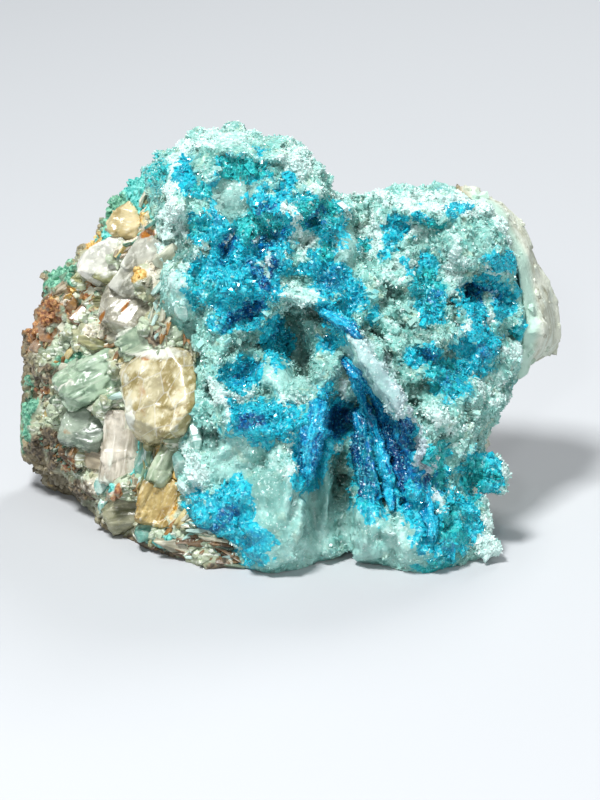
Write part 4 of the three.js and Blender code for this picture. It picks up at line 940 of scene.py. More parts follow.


# Hemimorphite crust: a druse of minute clear prisms, so it looks like coarse wet sugar, pale where
# the light is caught in it and bright where a copper-bearing layer lies just under the surface.
# Its colour also holds painted shade in hollows and painted highlight on ridges.
def paintedHemimorphite(name, roughness, subsurface, bumpHeight, brighten):
    material, tree, values = startMaterial(
        name, {"coarse": (5.0, 3.0), "medium": (1.4, 3.0), "fine": (0.45, 3.0), "sparks": (0.22, 2.0),
               "patches": (0.8, 2.0)},
        dict.fromkeys(("tone", "tint", "hollowTintAndShade", "frostAndHighlight", "lilac", "smooth", "teal", "deep", "blue"),
                      "Fac"))
    fine, medium, deep = values["fine"], values["medium"], values["deep"]
    values["tinted"] = addNode(tree, "ShaderNodeMapRange",
                               {"Value": values["tint"], "From Min": 0.1, "From Max": 0.85},
                               interpolation_type="SMOOTHSTEP").outputs[0]
    # The white layer's amount: frost, plus painted highlight on ridges.
    values["frosted"] = addUp(tree, -0.75, (values["frostAndHighlight"], 1.0), (fine, 1.5))
    values["glazed"] = addUp(tree, 0.0, (values["smooth"], 0.6))
    values["tealness"] = addUp(tree, -0.5, (values["teal"], 1.0), (medium, 1.0))
    # The navy layer's amount, which also paints the shade in the gap between the fan's blades.
    values["deepness"] = addUp(tree, -0.55, (deep, 1.0), (fine, 1.1))
    islands = addNode(tree, "ShaderNodeMapRange",  # pale spots in the blue
                      {"Value": values["patches"], "From Min": 0.6, "From Max": 0.68,
                       "To Max": addUp(tree, 0.75, (deep, -1.0))}, interpolation_type="SMOOTHSTEP")
    values["covered"] = addUp(tree, -0.6, (values["blue"], 1.0), (fine, 1.2), (islands.outputs[0], -1.0))
    values["glint"] = addNode(tree, "ShaderNodeMapRange",  # fewer glints on the blue
                              {"Value": values["covered"], "From Min": 0.3, "From Max": 1.2,
                               "To Min": 0.7, "To Max": -0.3},
                              interpolation_type="SMOOTHSTEP").outputs[0]
    white = paint(tree, values, "#cfece6", ("#b0c2cc", "lilac"))
    glaze = paint(tree, values, "#7cb0a8", ("#a8d2ca", "coarse", 0.42, 0.58))
    # The dark grey-green layer is painted shade in hollows as well as their own tint; the white layer is
    # frost with painted highlight on ridges.
    mint = paint(tree, values, "#62aaa1",
                 ("#84c6bc", "coarse", 0.4, 0.62), ("#a5d4c8", "tone", 0.2, 0.9),
                 ("#b0d0ba", "medium", 0.55, 0.7), ("#2fadb4", "fine", 0.3, 0.65, "tinted"),
                 ("#28574e", "medium", 0.2, 0.55, "hollowTintAndShade"), (white, "frosted", 0.4, 1.05),
                 (glaze, "glazed"))
    azure = paint(tree, values, "#0088a6", ("#22bfd2", "fine", 0.36, 0.6))
    teal = paint(tree, values, "#0a8890", ("#30bcb8", "fine", 0.36, 0.6))
    navy = paint(tree, values, "#023a6e", ("#046fae", "fine", 0.4, 0.64))
    blues = paint(tree, values, azure,
                  (teal, "tealness", 0.3, 0.8), (navy, "deepness", 0.35, 0.85),
                  ("#3cc4d2", "tone", 0.55, 0.95, 0.5), ("#6fdce4", "sparks", 0.57, 0.67, 0.75))
    colours = paint(tree, values, mint,
                    (blues, "covered", 0.4, 0.6), ("#eef8f5", "sparks", 0.64, 0.7, "glint"),
                    ("#f4fbfa", "covered", 0.65, 0.35, brighten))
    cells = addNode(tree, "ShaderNodeTexVoronoi", {"Vector": values["place"], "Scale": 1 / (0.32 * mm)})
    rough = addUp(tree, 1.0, (values["smooth"], -0.6))
    heights = addUp(tree, 0.0, (slantedGrains(tree, values["place"], cells), rough))
    bump = addNode(tree, "ShaderNodeBump", {"Height": heights, "Strength": 1.0, "Distance": bumpHeight})
    setInputs(tree, tree.nodes["Principled BSDF"],
              {"Base Color": colours, "Normal": bump.outputs[0], "Roughness": roughness, "IOR": 1.5,
               "Subsurface Weight": subsurface, "Subsurface Radius": (0.7, 1.0, 1.0),
               "Subsurface Scale": 0.5 * mm})
    return material


# Deep blue blades: glassy cleaved sheets stacked edge on, with fine lines along their length and a
# painted highlight along each crest, which their bright attribute carries.
def bladeMaterial():
    material, tree, values = startMaterial(
        "blue hemimorphite, cleaved blades", {"specks": (0.24, 3.0)},
        {"grain": "Vector", "bright": "Fac", "teal": "Fac"})
    lines = addNode(tree, "ShaderNodeTexNoise", {"Vector": values["grain"], "Scale": 5.0, "Detail": 5.0})
    streak = addNode(tree, "ShaderNodeMapRange",
                     {"Value": lines.outputs["Fac"], "From Min": 0.35, "From Max": 0.65,
                      "To Min": -0.4, "To Max": 0.4})
    level = addUp(tree, streak.outputs[0], (values["bright"], 1.0))
    for key, value, low, high, most in (("dark", level, 0.0, 0.5, 1.0), ("light", level, 0.5, 1.2, 1.0),
                                        ("glint", values["specks"], 0.56, 0.68, 0.8)):
        values[key] = addNode(tree, "ShaderNodeMapRange", {"Value": value, "From Min": low,
                                                           "From Max": high, "To Max": most}).outputs[0]
    middle = paint(tree, values, "#0277ae", ("#047c86", "teal"))
    colours = paint(tree, values, "#01396c",
                    (middle, "dark"), ("#2cc6e2", "light"), ("#6fd6e6", "glint"))
    cells = addNode(tree, "ShaderNodeTexVoronoi", {"Vector": values["place"], "Scale": 1 / (0.26 * mm)})
    bump = addNode(tree, "ShaderNodeBump", {"Height": slantedGrains(tree, values["place"], cells),
                                            "Strength": 1.0, "Distance": 1.2})
    setInputs(tree, tree.nodes["Principled BSDF"],
              {"Base Color": colours, "Normal": bump.outputs[0], "Roughness": 0.26, "IOR": 1.5})
    return material


# The rock's stains: their two tones, and how raggedly they end.
stainTones = {
    "green": ("#3f7f68", "#86c3a4", 1.5), "dark": ("#4a4235", "#83755d", 1.5),
    "iron": ("#77482f", "#b98a58", 1.8), "ochre": ("#b98a34", "#e0c37c", 1.4),
    "pale": ("#c9c2ad", "#ece6d6", 1.2), "turquoise": ("#2f9d97", "#7fd6cc", 1.3),
}


# Host rock: a broken mass of calcite, clay and iron oxide, so it is dull and crumbly, with rust
# in its cracks, green copper salts in patches and a cream rind at its right end.
def rockMaterial(name, roughness, clear=0.0):
    material, tree, values = startMaterial(
        name, {"coarse": (4.0, 3.0), "medium": (1.2, 3.0), "fine": (0.4, 3.0), "grit": (0.35, 5.0)},
        dict.fromkeys(("glass", "mintEdge", "cream", *stainTones), "Fac"))
    chips = addNode(tree, "ShaderNodeTexVoronoi", {"Vector": values["place"], "Scale": 1 / (1.1 * mm)})
    values["chipTone"] = addNode(tree, "ShaderNodeSeparateColor", {0: chips.outputs["Color"]}).outputs[0]
    for key, turn, stretch, size in (("streaks", (0.4, 0.5, 0.3), (0.16, 1.0, 1.0), 0.35),
                                     ("bands", (0.0, 0.0, 0.0), (1.0, 1.0, 0.22), 0.8)):
        fibres = addNode(tree, "ShaderNodeMapping",
                         {"Vector": values["place"], "Rotation": turn, "Scale": stretch})
        values[key] = addNode(tree, "ShaderNodeTexNoise",
                              {"Vector": fibres.outputs[0], "Scale": 1 / (size * mm),
                               "Detail": 4.0}).outputs["Fac"]
    glass = paint(tree, values, "#879a82",
                  ("#a5a684", "coarse", 0.4, 0.6), ("#b4c2a8", "chipTone", 0.2, 0.9),
                  ("#dfe4d8", "streaks", 0.52, 0.66))
    base = paint(tree, values, "#5f5846",
                 ("#8c8062", "coarse", 0.38, 0.62), ("#a79f86", "chipTone", 0.35, 0.95, 0.5),
                 ("#4a4234", "medium", 0.56, 0.68), (glass, "glass", 0.3, 0.7))
    for key, (dark, pale, reach) in stainTones.items():
        stained = paint(tree, values, dark, (pale, "fine", 0.38, 0.64))
        values[key] = addUp(tree, -0.5 * reach, (values[key], 1.0), (values["medium"], reach))
        base = paint(tree, values, base, (stained, key, 0.35, 0.7))
    rind = paint(tree, values, "#b7b19a",
                 ("#d2d5c8", "bands", 0.4, 0.6), ("#dedccb", "coarse", 0.45, 0.62),
                 ("#8f7f60", "medium", 0.6, 0.7), ("#eeece2", "fine", 0.58, 0.7),
                 ("#b4d3c4", "mintEdge", 0.2, 0.8))
    base = paint(tree, values, base, (rind, "cream", 0.35, 0.7))
    bump = addNode(tree, "ShaderNodeBump",
                   {"Height": values["grit"], "Strength": 0.8, "Distance": 0.16 * mm})
    setInputs(tree, tree.nodes["Principled BSDF"],
              {"Base Color": base, "Normal": bump.outputs[0], "Roughness": roughness,
               "Transmission Weight": clear})
    return material


# Cleaved calcite and quartz in the rock: clear bodies with milky fibres and clouds, whose tones
# are their own attributes, stained by iron here and there.
def glassyMaterial(name, roughness):
    material, tree, values = startMaterial(
        name, {"clouds": (1.9, 4.0), "stains": (1.5, 4.0), "specks": (0.3, 4.0)},
        {"grain": "Vector", "body": "Color", "second": "Color", "milky": "Fac", "cracked": "Fac",
         "frosted": "Fac", "stained": "Fac"})
    along = values["grain"]
    values["fibres"] = addNode(tree, "ShaderNodeTexNoise",
                               {"Vector": along, "Scale": 2.2, "Detail": 5.0}).outputs["Fac"]
    flats = addNode(tree, "ShaderNodeTexVoronoi", {"Vector": along, "Scale": 0.5})
    values["flatTone"] = addNode(tree, "ShaderNodeSeparateColor", {0: flats.outputs["Color"]}).outputs[0]
    values["edges"] = addNode(tree, "ShaderNodeTexVoronoi", {"Vector": along, "Scale": 0.5},
                              feature="DISTANCE_TO_EDGE").outputs["Distance"]
    values["rusty"] = addUp(tree, values["stained"], (values["stains"], 1.0))
    values["bruised"] = addUp(tree, values["frosted"], (values["stains"], 1.2))
    for key, source, low, high, most in (
            ("milkyFibres", "fibres", 0.46, 0.68, 1.0), ("milkyClouds", "clouds", 0.4, 0.66, 1.0),
            ("streaks", "fibres", 0.54, 0.7, 0.6), ("white", "bruised", 1.1, 1.5, 1.0)):
        values[key] = addNode(tree, "ShaderNodeMapRange",
                              {"Value": values[source], "From Min": low, "From Max": high,
                               "To Max": most}, interpolation_type="SMOOTHSTEP").outputs[0]
    values["veil"] = addNode(tree, "ShaderNodeMath",
                             {0: values["milkyFibres"], 1: values["milkyClouds"]},
                             operation="MAXIMUM").outputs[0]
    tone = paint(tree, values, values["body"],
                 (values["second"], "veil"), ("#eef0e4", "clouds", 0.42, 0.6, "streaks"),
                 (values["second"], "flatTone", 0.25, 0.8, 0.7),
                 ("#f6f2e2", "edges", 0.04, 0.0, "cracked"),
                 ("#b0702c", "stains", 0.66, 0.76, 0.5), ("#b8742a", "rusty", 1.0, 1.4),
                 ("#dfe2d4", "white"), ("#eef0e6", "specks", 0.6, 0.7, 0.3))
    cloudy = addUp(tree, values["milky"], (values["veil"], 0.35))
    cloudy = addNode(tree, "ShaderNodeMath", {0: cloudy, 1: values["white"]}, operation="MAXIMUM")
    clear = addNode(tree, "ShaderNodeMapRange",
                    {"Value": cloudy.outputs[0], "To Min": 0.9, "To Max": 0.1}).outputs[0]
    heights = addUp(tree, slantedGrains(tree, along, flats), (values["fibres"], 0.12))
    bump = addNode(tree, "ShaderNodeBump", {"Height": heights, "Strength": 1.0, "Distance": 0.5 * mm})
    setInputs(tree, tree.nodes["Principled BSDF"],
              {"Base Color": tone, "Transmission Weight": clear, "Normal": bump.outputs[0],
               "Roughness": roughness, "IOR": 1.5})
    return material


druseMaterial = paintedHemimorphite("hemimorphite druse, sugary", roughness=0.36, subsurface=0.12,
                                    bumpHeight=1.4, brighten=0.0)
sparkleMaterial = paintedHemimorphite("hemimorphite prisms, glassy", roughness=0.14, subsurface=0.1,
                                      bumpHeight=0.4, brighten=0.08)
frostMaterial = paintedHemimorphite("hemimorphite needles, frosted", roughness=0.28, subsurface=0.2,
                                    bumpHeight=0.4, brighten=0.5)

# The druse's small crystals: where they stand, how densely, their lengths, their tilt in radians, and
# the sides, width, flatness, point and lean of each kind of prism.
druseSettings = {
    "mint_druse_crystals": {
        "room": "mintRoom", "perSquareMm": 4.5, "lengths": (0.18, 0.5), "tilt": 0.8, "seed": 21,
        "prisms": ((5, 0.95, 0.85, 0.45, 0.1), (6, 0.85, 0.9, 0.5, 0.0), (4, 0.95, 0.8, 0.55, 0.08))},
    "blue_druse_crystals": {
        "room": "blueRoom", "perSquareMm": 5.0, "lengths": (0.24, 0.75), "tilt": 0.9, "seed": 31,
        "prisms": ((5, 0.7, 0.55, 0.35, 0.1), (4, 0.65, 0.6, 0.5, 0.0))},
    "blue_glassy_crystals": {
        "room": "blueBlocks", "perSquareMm": 0.8, "lengths": (0.4, 1.3), "tilt": 1.1, "seed": 51,
        "prisms": ((4, 0.9, 0.7, 0.8, 0.1), (5, 0.8, 0.8, 0.6, -0.05), (6, 0.7, 0.6, 0.5, 0.05))},
    "mint_glassy_crystals": {
        "room": "mintBlocks", "perSquareMm": 0.6, "lengths": (0.4, 1.1), "tilt": 1.1, "seed": 61,
        "prisms": ((4, 1.0, 0.8, 0.8, 0.1), (5, 0.9, 0.7, 0.6, 0.0))},
    "frost_grains": {
        "room": "frostRoom", "perSquareMm": 6.0, "lengths": (0.16, 0.42), "tilt": 0.9, "seed": 41,
        "prisms": ((4, 0.8, 0.9, 0.4, 0.0), (5, 0.7, 0.8, 0.5, 0.1)), "material": frostMaterial},
}


def makeDruse(crust):
    room, blue, frostAndHighlight = [attributeOf(crust, name) for name in ("room", "blue", "frostAndHighlight")]
    facing = fade(toFace(pointsOf(crust))[2], 18, -6, least=0.3)
    forward = facingViewer(crust)
    # Frost grains stand where the crust is frosted and where its ridges carry painted highlight.
    rooms = {"mintRoom": room * (1 - blue) * facing, "blueRoom": room * blue * facing,
             "blueBlocks": room * blue * forward, "mintBlocks": room * (1 - blue) * forward,
             "frostRoom": room * np.clip(frostAndHighlight * 1.4 - 0.3, 0, 1) * facing}
    for name, values in rooms.items():
        setAttribute(crust, name, values)
    for name, kind in druseSettings.items():
        prisms = [prismPrototype(*prism) for prism in kind["prisms"]]
        made = scatterOver(crust, name, prisms, kind["room"], kind["perSquareMm"], kind["lengths"],
                           kind["tilt"], kind["seed"])
        keepInBox(made)
        finishPiece(made, kind.get("material", sparkleMaterial), smooth=False)
        print(name, len(made.data.polygons))


rockSettings = {
    "voxel": 0.34,
    "puff": 0.2,  # closes the clearance to the crust and the crystals
    "shardsPerSquareMm": 0.32,  # glassy shards, where the rock is glassy
    "shardLengths": (0.6, 1.6),
    "shardPrisms": ((4, 0.7, 0.7, 0.75, 0.1), (5, 0.6, 0.6, 0.5, 0.15), (4, 0.9, 0.5, 0.7, 0.0)),
    "chipsPerSquareMm": 0.35,  # angular chips fused to the rock
    "chipRadii": (0.35, 1.3),
    "grainsPerSquareMm": 1.5,  # loose-looking grains on it
    "grainRadii": (0.16, 0.6),
    "facets": ((3.8, 0.8), (1.5, 0.3)),
    "coarseBump": (1.6, 0.45),
    "fineBump": (0.5, 0.25),
    "rimFrom": 17,  # the right rim is smoother from here on
    "creamFrom": 16.5,
    "backSunk": 1.1,  # how far the back goes in before it is broken up
}
# Stains of the host rock as seen on the face: u, v, half width, half height, turn, strength.
rockStains = {
    "glass": [
        (-16.4, 20.0, 9.0, 14.0, 0, 1.0), (-12.8, 33.0, 3.4, 4.0, 0, 1.0),
        (-12.0, 7.0, 6.0, 7.0, 0, 1.0), (-21.2, 15.6, 4.4, 6.4, 0, 0.9), (-7.0, 1.4, 4.0, 1.2, 0, 0.6),
    ],
    "iron": [
        (-23.8, 26.6, 2.6, 1.8, 30, 0.75), (-17.2, 27.2, 1.2, 0.6, 0, 0.8),
        (-14.8, 21.9, 1.2, 0.6, 0, 1.0), (-10.2, 24.4, 0.6, 1.6, 10, 0.8),
        (-14.4, 34.4, 1.2, 0.6, 20, 0.7), (-22.3, 11.4, 0.8, 0.8, 0, 0.7),
        (-26.0, 24.6, 1.2, 1.6, 0, 0.8), (-20.6, 27.8, 0.6, 1.4, 40, 0.8),
        (-17.4, 8.2, 0.4, 1.4, 0, 0.7), (-24.6, 18.4, 1.0, 1.0, 0, 0.6),
    ],
    "dark": [
        (-24.0, 12.6, 2.4, 2.4, 0, 0.9), (-24.6, 20.2, 1.8, 1.4, 0, 0.7),
        (-15.4, 2.8, 4.6, 1.2, -10, 0.8), (-5.6, 0.8, 3.2, 1.0, 0, 0.9),
        (-14.2, 23.6, 3.2, 0.5, 25, 0.8), (-20.6, 8.4, 2.0, 1.0, -30, 0.8),
    ],
    "green": [
        (-27.0, 15.6, 1.6, 4.8, -8, 1.0), (-22.8, 30.4, 1.8, 1.4, 40, 0.9),
        (-16.8, 36.6, 2.4, 1.6, 50, 1.0), (-21.6, 20.8, 3.0, 1.6, 15, 0.7),
        (-14.4, 0.9, 3.0, 0.8, 0, 0.8), (-11.4, 35.8, 1.0, 1.4, 0, 0.7), (2.6, 1.4, 2.0, 0.8, 0, 0.7),
        (-24.6, 28.8, 1.0, 1.0, 40, 0.7),
    ],
    "ochre": [
        (-15.2, 36.4, 1.4, 1.4, 0, 1.0), (-19.4, 33.2, 1.6, 0.8, 45, 0.9),
        (-12.8, 8.4, 1.8, 3.0, 0, 0.9), (-16.4, 29.8, 2.2, 0.8, 15, 0.9),
        (-13.8, 12.0, 1.2, 2.2, 0, 0.6), (3.4, 1.8, 1.4, 0.7, 0, 1.0), (-22.6, 28.4, 1.4, 0.6, 30, 0.7),
    ],
    "pale": [
        (-16.0, 33.6, 2.4, 1.6, 35, 0.7), (-22.4, 27.6, 1.0, 0.8, 0, 0.7),
        (-19.6, 24.4, 1.4, 1.0, 0, 0.6), (-12.6, 30.6, 1.8, 3.4, 15, 0.8),
        (-19.4, 9.2, 1.3, 1.3, 0, 0.8), (-16.6, 17.4, 1.0, 2.0, 0, 0.5),
    ],
    "turquoise": [
        (-14.2, 39.2, 2.6, 3.0, -20, 1.0), (-17.9, 33.9, 1.4, 0.9, 20, 1.0),
        (-15.6, 11.8, 0.7, 2.4, 6, 1.0), (-18.4, 9.0, 0.8, 0.9, 0, 0.7), (-16.6, 5.4, 0.8, 0.7, 0, 0.9),
        (-12.6, 36.6, 1.4, 1.6, 0, 0.8), (-12.6, 3.4, 1.6, 0.8, 0, 0.6),
    ],
}


def paintRock(thing):
    points = pointsOf(thing)
    u, v = asSeen(points)
    u, v = u + 0.6 * fractalAt(points, 1.6, 4), v + 0.6 * fractalAt(points, 1.6, 5)
    across, _, depth = toFace(points)
    front = fade(depth, 22, -6)
    broad = fractalAt(points, 9.0, 6)
    none = np.full(len(u), -1.0)
    wild = {  # the stains of the sides and the back
        "glass": none, "turquoise": none,
        "iron": 1.6 * broad - 0.25, "green": -1.6 * broad - 0.45,
        "dark": 1.4 * fractalAt(points, 6.0, 7) - 0.2,
        "pale": 1.2 * fractalAt(points, 7.0, 8) - 0.35,
        "ochre": 1.3 * fractalAt(points, 8.0, 9) - 0.4,
    }
    for name, patches in rockStains.items():
        setAttribute(thing, name, coverage(u, v, patches, 0.5) * front
                     + np.clip(wild[name], 0, 1) * (1 - front))
    across = across + 1.6 * fractalAt(points, 5.0, 14)
    setAttribute(thing, "cream", fade(across, rockSettings["creamFrom"], 3) * fade(depth, 34, -6))


def makeRock():
    base = copyOfNode("host_rock", "rock_base")
    points = pointsOf(base)
    fromCrust = distanceTo(points, ["hemimorphite_crust"], 2.0)
    fromCrystals = distanceTo(points, crystalNodes, 2.0)
    rough = fade(fromCrust, 0.7, 0.5) * fade(points[:, 2] / mm, 0.8, 0.6)
    rough *= 1 - 0.9 * fade(points[:, 0] / mm, rockSettings["rimFrom"], 2)
    rough *= fade(points[:, 2] / mm, 30, -3)
    setAttribute(base, "rough", rough * fade(fromCrystals, 0.5, 0.5, least=0.12))
    chips = [lumpPrototype(1, 0.28, seed) for seed in (4, 5, 6)]
    rock = scatterOver(base, "host_rock_mass", chips, "rough", rockSettings["chipsPerSquareMm"],
                       rockSettings["chipRadii"], tilt=1.2, seed=51, joinTarget=True)
    bpy.data.objects.remove(base)
    puffUp(rock, rockSettings["puff"])
    fuse(rock, rockSettings["voxel"])
    applyModifiers(rock)
    points = pointsOf(rock)
    fromCrust = distanceTo(points, ["hemimorphite_crust"], 2.0)
    fromCrystals = distanceTo(points, crystalNodes, 2.0)
    clearOf = np.clip(fromCrust / 1.4, 0, 1) * fade(fromCrystals, 0.2, 0.8)
    atBack = fade(points[:, 1] / mm, 13.5, 2.5) * clearOf
    points[:, 1] -= rockSettings["backSunk"] * mm * atBack
    setPoints(rock, points)
    rimShare = fade(points[:, 0] / mm, rockSettings["rimFrom"], 3)
    for order, (size, height) in enumerate(rockSettings["facets"]):
        facet(rock, size, height, seed=57 + order,
              share=clearOf * (0.7 + 1.1 * atBack) * (1 - 0.75 * rimShare))
    setGroup(rock, "crumbly", 1 - 0.8 * rimShare)
    for name in ("coarseBump", "fineBump"):
        roughen(rock, "rock " + name, rockSettings[name], level=0.55, group="crumbly")
    applyModifiers(rock)
    keepInBox(rock)
    paintRock(rock)
    points = pointsOf(rock)
    depth = toFace(points)[2]
    setAttribute(rock, "mintEdge", (1.3 - fromCrust / 2.2) * rimShare)
    shown = fade(fromCrust, 0.15, 0.3) * fade(points[:, 2] / mm, 0.5, 0.5)
    onFront = fade(depth, 24, -5, least=0.3) * fade(points[:, 0] / mm, 20, -3, least=0.1)
    setAttribute(rock, "grit", shown * onFront * fade(fromCrystals, 0.25, 0.4, least=0.2))
    grains = [lumpPrototype(1, 0.3, seed) for seed in (7, 8, 9)]
    grit = scatterOver(rock, "rock_grains", grains, "grit", rockSettings["grainsPerSquareMm"],
                       rockSettings["grainRadii"], tilt=1.4, seed=61)
    keepInBox(grit)
    shardRoom = coverage(*asSeen(points), rockStains["glass"], 0.4) * shown * fade(depth, 14, -4)
    shardRoom *= facingViewer(rock)
    setAttribute(rock, "shards", shardRoom * fade(fromCrystals, 0.1, 0.4))
    blocks = [prismPrototype(*prism) for prism in rockSettings["shardPrisms"]]
    shards = scatterOver(rock, "calcite_shards", blocks, "shards", rockSettings["shardsPerSquareMm"],
                         rockSettings["shardLengths"], tilt=1.3, seed=71)
    keepInBox(shards)
    finishPiece(shards, rockMaterial("calcite shards, glassy", roughness=0.2, clear=0.35),
                smooth=False)
    finishPiece(rock, rockMaterial("host rock, limonite stained", roughness=0.6))
    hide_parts("host_rock")
    finishPiece(grit, rockMaterial("host rock grains, broken calcite", roughness=0.4),
                smooth=False)
    print("rock", len(rock.data.polygons), "grains", len(grit.data.polygons))


crystalSettings = {
    "cuts": 7,  # extra cleavage faces
    "cutDepths": (0.03, 0.12),  # as shares of the crystal's half diagonal
    "puff": 0.3,  # fills the socket's clearance
    "voxel": 0.17,
    "flats": (2.8, 0.2),  # size and height of the cleavage steps
    "splinterWidth": 0.9,
    "splinters": 0.16,  # height, and the three below, unless the crystal has its own
    "stretch": 0.12,
    "cracked": 0.1,
    "worn": 0.85,  # how white its edges are bruised
}


# The tones and fibre direction of one glassy piece. Fibres lie on the face, turned from its u axis.
def toneGlass(thing, body, second, milky, fibre, seed, stretch, cracked, worn=0.0):
    u, v, w = toFace(pointsOf(thing))
    c, s = math.cos(math.radians(fibre)), math.sin(math.radians(fibre))
    grain = np.stack([(u * c + v * s) * stretch + seed, v * c - u * s, w * 0.5], axis=1)
    kept = thing.data.attributes.new("grain", "FLOAT_VECTOR", "POINT")
    kept.data.foreach_set("vector", grain.astype(np.float32).ravel())
    for name, hexValue in (("body", body), ("second", second)):
        kept = thing.data.attributes.new(name, "FLOAT_COLOR", "POINT")
        kept.data.foreach_set("color", np.tile(np.float32(colour(hexValue)), len(u)))
    setAttribute(thing, "milky", np.full(len(u), milky))
    setAttribute(thing, "cracked", np.full(len(u), cracked))
    setAttribute(thing, "frosted", coverage(u, v, frostedGlass, 0.5) + worn)
    setAttribute(thing, "stained", coverage(u, v, stainedGlass, 0.5))


# A glassy crystal: its block with extra cleavage faces, steps on its faces and worn edges.
def makeCrystal(node, own, seed, material):
    settings = {**crystalSettings, **own}
    made = copyOfNode(node, node + "_cleaved")
    draw = random.Random(seed)
    low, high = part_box(node)
    middle = (low + high) / 2
    reach = (high - low).length / 2
    for _ in range(settings["cuts"]):
        normal = Vector((draw.uniform(-1, 1), draw.uniform(-1.4, 0.2), draw.uniform(-1, 1))).normalized()
        furthest = max((v.co - middle).dot(normal) for v in made.data.vertices)
        whole = made.data.copy()
        inEditMode(made, bpy.ops.mesh.bisect,
                   plane_co=middle + normal * (furthest - reach * draw.uniform(*settings["cutDepths"])),
                   plane_no=normal, use_fill=True, clear_outer=True)
        edges = np.empty(len(made.data.loops), np.int32)
        made.data.loops.foreach_get("edge_index", edges)
        if np.any(np.bincount(edges, minlength=len(made.data.edges)) != 2):  # a cut that left a hole
            made.data = whole
    puffUp(made, settings["puff"])
    fuse(made, settings["voxel"])
    applyModifiers(made)
    turn = math.radians(settings["fibre"])
    along = np.array(fromFace(math.cos(turn), math.sin(turn)) - fromFace(0, 0)) / mm
    facet(made, *settings["flats"], seed, share=1.0)
    facet(made, settings["splinterWidth"], settings["splinters"], seed + 1, share=1.0, along=along)
    keepInBox(made)
    print(node, "size against its block", round(made.dimensions.length / (high - low).length, 2))
    worn = settings["worn"] * fade(relief(made, 20, 0.22), 0.15, 1)
    toneGlass(made, settings["body"], settings["second"], settings["milky"], settings["fibre"], seed,
              settings["stretch"], settings["cracked"], worn)
    finishPiece(made, material)
    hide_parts(node)


# A small cleaved piece as the hull of points in a turned box, half sunk in the face.
def cleavedBlock(u, v, halfLength, halfWidth, turn, kind, seed):
    draw = random.Random(seed)
    c, s = math.cos(math.radians(turn)), math.sin(math.radians(turn))
    depth = surfaceAt(u, v)
    tall = 0.7 * min(halfLength, halfWidth) + 0.35
    mesh = bmesh.new()
    shear = draw.uniform(-0.5, 0.5)
    for _ in range(blockSettings["corners"]):
        way = Vector([draw.gauss(0, 1) for _ in range(3)]).normalized()
        way *= draw.uniform(0.85, 1.1) / max(abs(way.x), abs(way.y), abs(way.z)) ** 0.55
        along, across = way.x * halfLength * 1.15, (way.y + shear * way.x) * halfWidth * 1.15
        mesh.verts.new(fromFace(u + along * c - across * s, v + along * s + across * c,
                                depth - blockSettings["raised"] - way.z * tall))
    bmesh.ops.convex_hull(mesh, input=mesh.verts)
    bmesh.ops.delete(mesh, geom=[one for one in mesh.verts if not one.link_faces], context="VERTS")
    data = bpy.data.meshes.new("block")
    mesh.to_mesh(data)
    mesh.free()
    made = newObject("block", data)
    if halfWidth > blockSettings["roundedFrom"]:
        addModifier(made, "BEVEL", width=blockSettings["edge"] * mm, segments=1, limit_method="ANGLE",
                    angle_limit=0.3)
        applyModifiers(made)
    toneGlass(made, *blockKinds[kind], draw.uniform(*blockSettings["milky"]), turn, seed,
              crystalSettings["stretch"], crystalSettings["cracked"])
    return made


# Rows like those of the blocks for long splinters, drawn at random over the rock that shows
# between the crystals.
def splinterRows():
    draw = random.Random(7)
    crystals = [treeOf(node) for node in crystalNodes]
    rows = []
    while len(rows) < blockSettings["splinters"]:
        u, v = draw.uniform(-28.4, -5), draw.uniform(0.8, 39.5)
        start, ahead = sightLine(u, v)
        onRock, onCrust = [tree.ray_cast(start, ahead)[3] or 1.0 for tree in reversed(frontTrees)]
        onCrystal = min(tree.ray_cast(start, ahead)[3] or 1.0 for tree in crystals)
        steep = frontTrees[1].ray_cast(start, ahead)[1]
        if onRock > 0.045 or onCrust < onRock or onCrystal < onRock or -steep.dot(ahead) < 0.55:
            continue
        _, _, lean, length, width, kinds = min(
            splinterZones, key=lambda one: math.hypot(u - one[0], v - one[1]))
        scale = draw.uniform(0.5, 1.5)
        turn = draw.gauss(lean, 16)
        reach = 1.4 * length * scale
        alongU, alongV = reach * math.cos(math.radians(turn)), reach * math.sin(math.radians(turn))
        deepest = max(surfaceAt(u + side * alongU, v + side * alongV, missing=40.0)
                      for side in (-1, 1))
        if deepest > surfaceAt(u, v) + blockSettings["overhang"]:
            continue
        rows.append((u, v, length * scale, width * draw.uniform(0.6, 1.4) * scale ** 0.5,
                     turn, draw.choice(kinds)))
    return rows


def makeBlocks(material):
    rows = glassBlocks + splinterRows()
    blocks = joinAll([cleavedBlock(*row, 200 + order) for order, row in enumerate(rows)],
                     "cleaved_calcite_blocks")
    keepInBox(blocks)
    finishPiece(blocks, material, smooth=False)
    print("blocks", len(blocks.data.polygons))


def makeFan():
    material = bladeMaterial()
    for name, rowSets in (("blue_fan_blades", fanBlades), ("single_blue_blades", loneBlades)):
        blades = [bladeStrip("blade", rows, 5 + order, crest=-0.2 + 0.3 * (order % 3),
                             lift=bladeSettings["lift"])
                  for order, rows in enumerate(rowSets)]
        made = joinAll(blades, name)
        facet(made, *bladeSettings["facets"], seed=81, share=1.0)
        keepInBox(made)
        setAttribute(made, "teal", coverage(*asSeen(pointsOf(made)), tealPatches, 0.5))
        setAttribute(made, "bladeRoom", fade(toFace(normalsOf(made))[2], 0.3, -0.5))
        needles = [prismPrototype(*prism) for prism in bladeSettings["needles"]]
        druse = scatterOver(made, name + "_druse", needles, "bladeRoom",
                            bladeSettings["needlesPerSquareMm"], bladeSettings["needleLengths"],
                            tilt=1.1, seed=91)
        keepInBox(druse)
        finishPiece(druse, material, smooth=False)
        finishPiece(made, material)
        print(made.name, len(made.data.polygons))
        if name == "blue_fan_blades":
            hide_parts("blue_blade_fan")


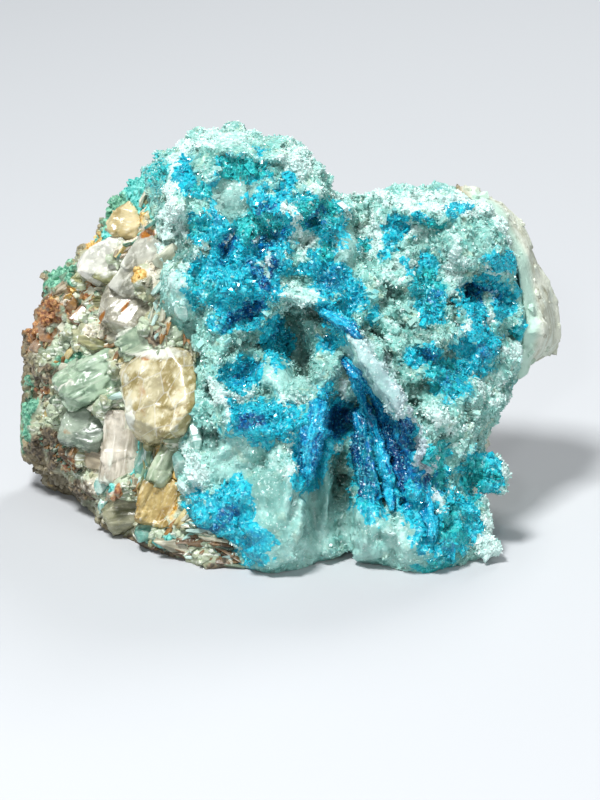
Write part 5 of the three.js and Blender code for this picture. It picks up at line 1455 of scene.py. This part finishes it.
def makeCamera():
    camera = newObject("camera", bpy.data.cameras.new("camera"))
    camera.data.lens = 36 * face["cameraGap"] / face["pictureTall"]  # on a sensor of 36 mm
    camera.data.clip_start = 0.01
    camera.location = fromFace(*face["aim"], -face["cameraGap"])
    camera.rotation_euler = Euler((math.pi / 2 - face["leanBack"], 0, 0))
    bpy.context.scene.camera = camera


# The studio: its paper and its lamps by place and size in metres and power in watts.
studioSettings = {
    "paper": "#b9bcbf", "paperRoughness": 0.8, "paperSize": 4.0,
    "sky": "#e4eaf0", "skyStrength": 0.24,
    "aim": (0, 0, 0.018),
    "lamps": {"key": ((-0.12, -0.16, 0.44), 0.1, 3.0), "fill": ((0.36, -0.34, 0.2), 0.24, 0.5),
              "rim": ((0.12, 0.34, 0.36), 0.16, 1.2), "glint": ((-0.05, -0.42, 0.22), 0.03, 0.35)},
}


def makeStudio():
    bpy.context.scene.view_settings.view_transform = "Standard"
    bpy.ops.object.select_all(action="DESELECT")
    bpy.ops.mesh.primitive_plane_add(size=studioSettings["paperSize"], location=(0, 0, 0))
    floor = bpy.context.object
    floor.name = "floor"
    paper = bpy.data.materials.new("pale paper")
    paper.use_nodes = True
    setInputs(paper.node_tree, paper.node_tree.nodes["Principled BSDF"],
              {"Base Color": studioSettings["paper"], "Roughness": studioSettings["paperRoughness"]})
    floor.data.materials.append(paper)
    world = bpy.data.worlds.new("studio")
    bpy.context.scene.world = world
    world.use_nodes = True
    setInputs(world.node_tree, world.node_tree.nodes["Background"],
              {"Color": studioSettings["sky"], "Strength": studioSettings["skyStrength"]})
    for name, (place, size, power) in studioSettings["lamps"].items():
        lamp = newObject(name, bpy.data.lights.new(name, "AREA"))
        lamp.data.size = size
        lamp.data.energy = power
        lamp.location = place
        toAim = Vector(studioSettings["aim"]) - Vector(place)
        lamp.rotation_euler = toAim.to_track_quat("-Z", "Y").to_euler()


makeCamera()
makeStudio()
crust = makeCrust()
makeDruse(crust)
finishPiece(crust, druseMaterial)
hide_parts("hemimorphite_crust")
makeFan()
makeRock()
glass = glassyMaterial("cleaved calcite, milky and clear", roughness=0.24)
for order, (node, settings) in enumerate(glassySettings.items()):
    makeCrystal(node, settings, 100 + order, glass)
makeBlocks(glass)
print("pieces made")
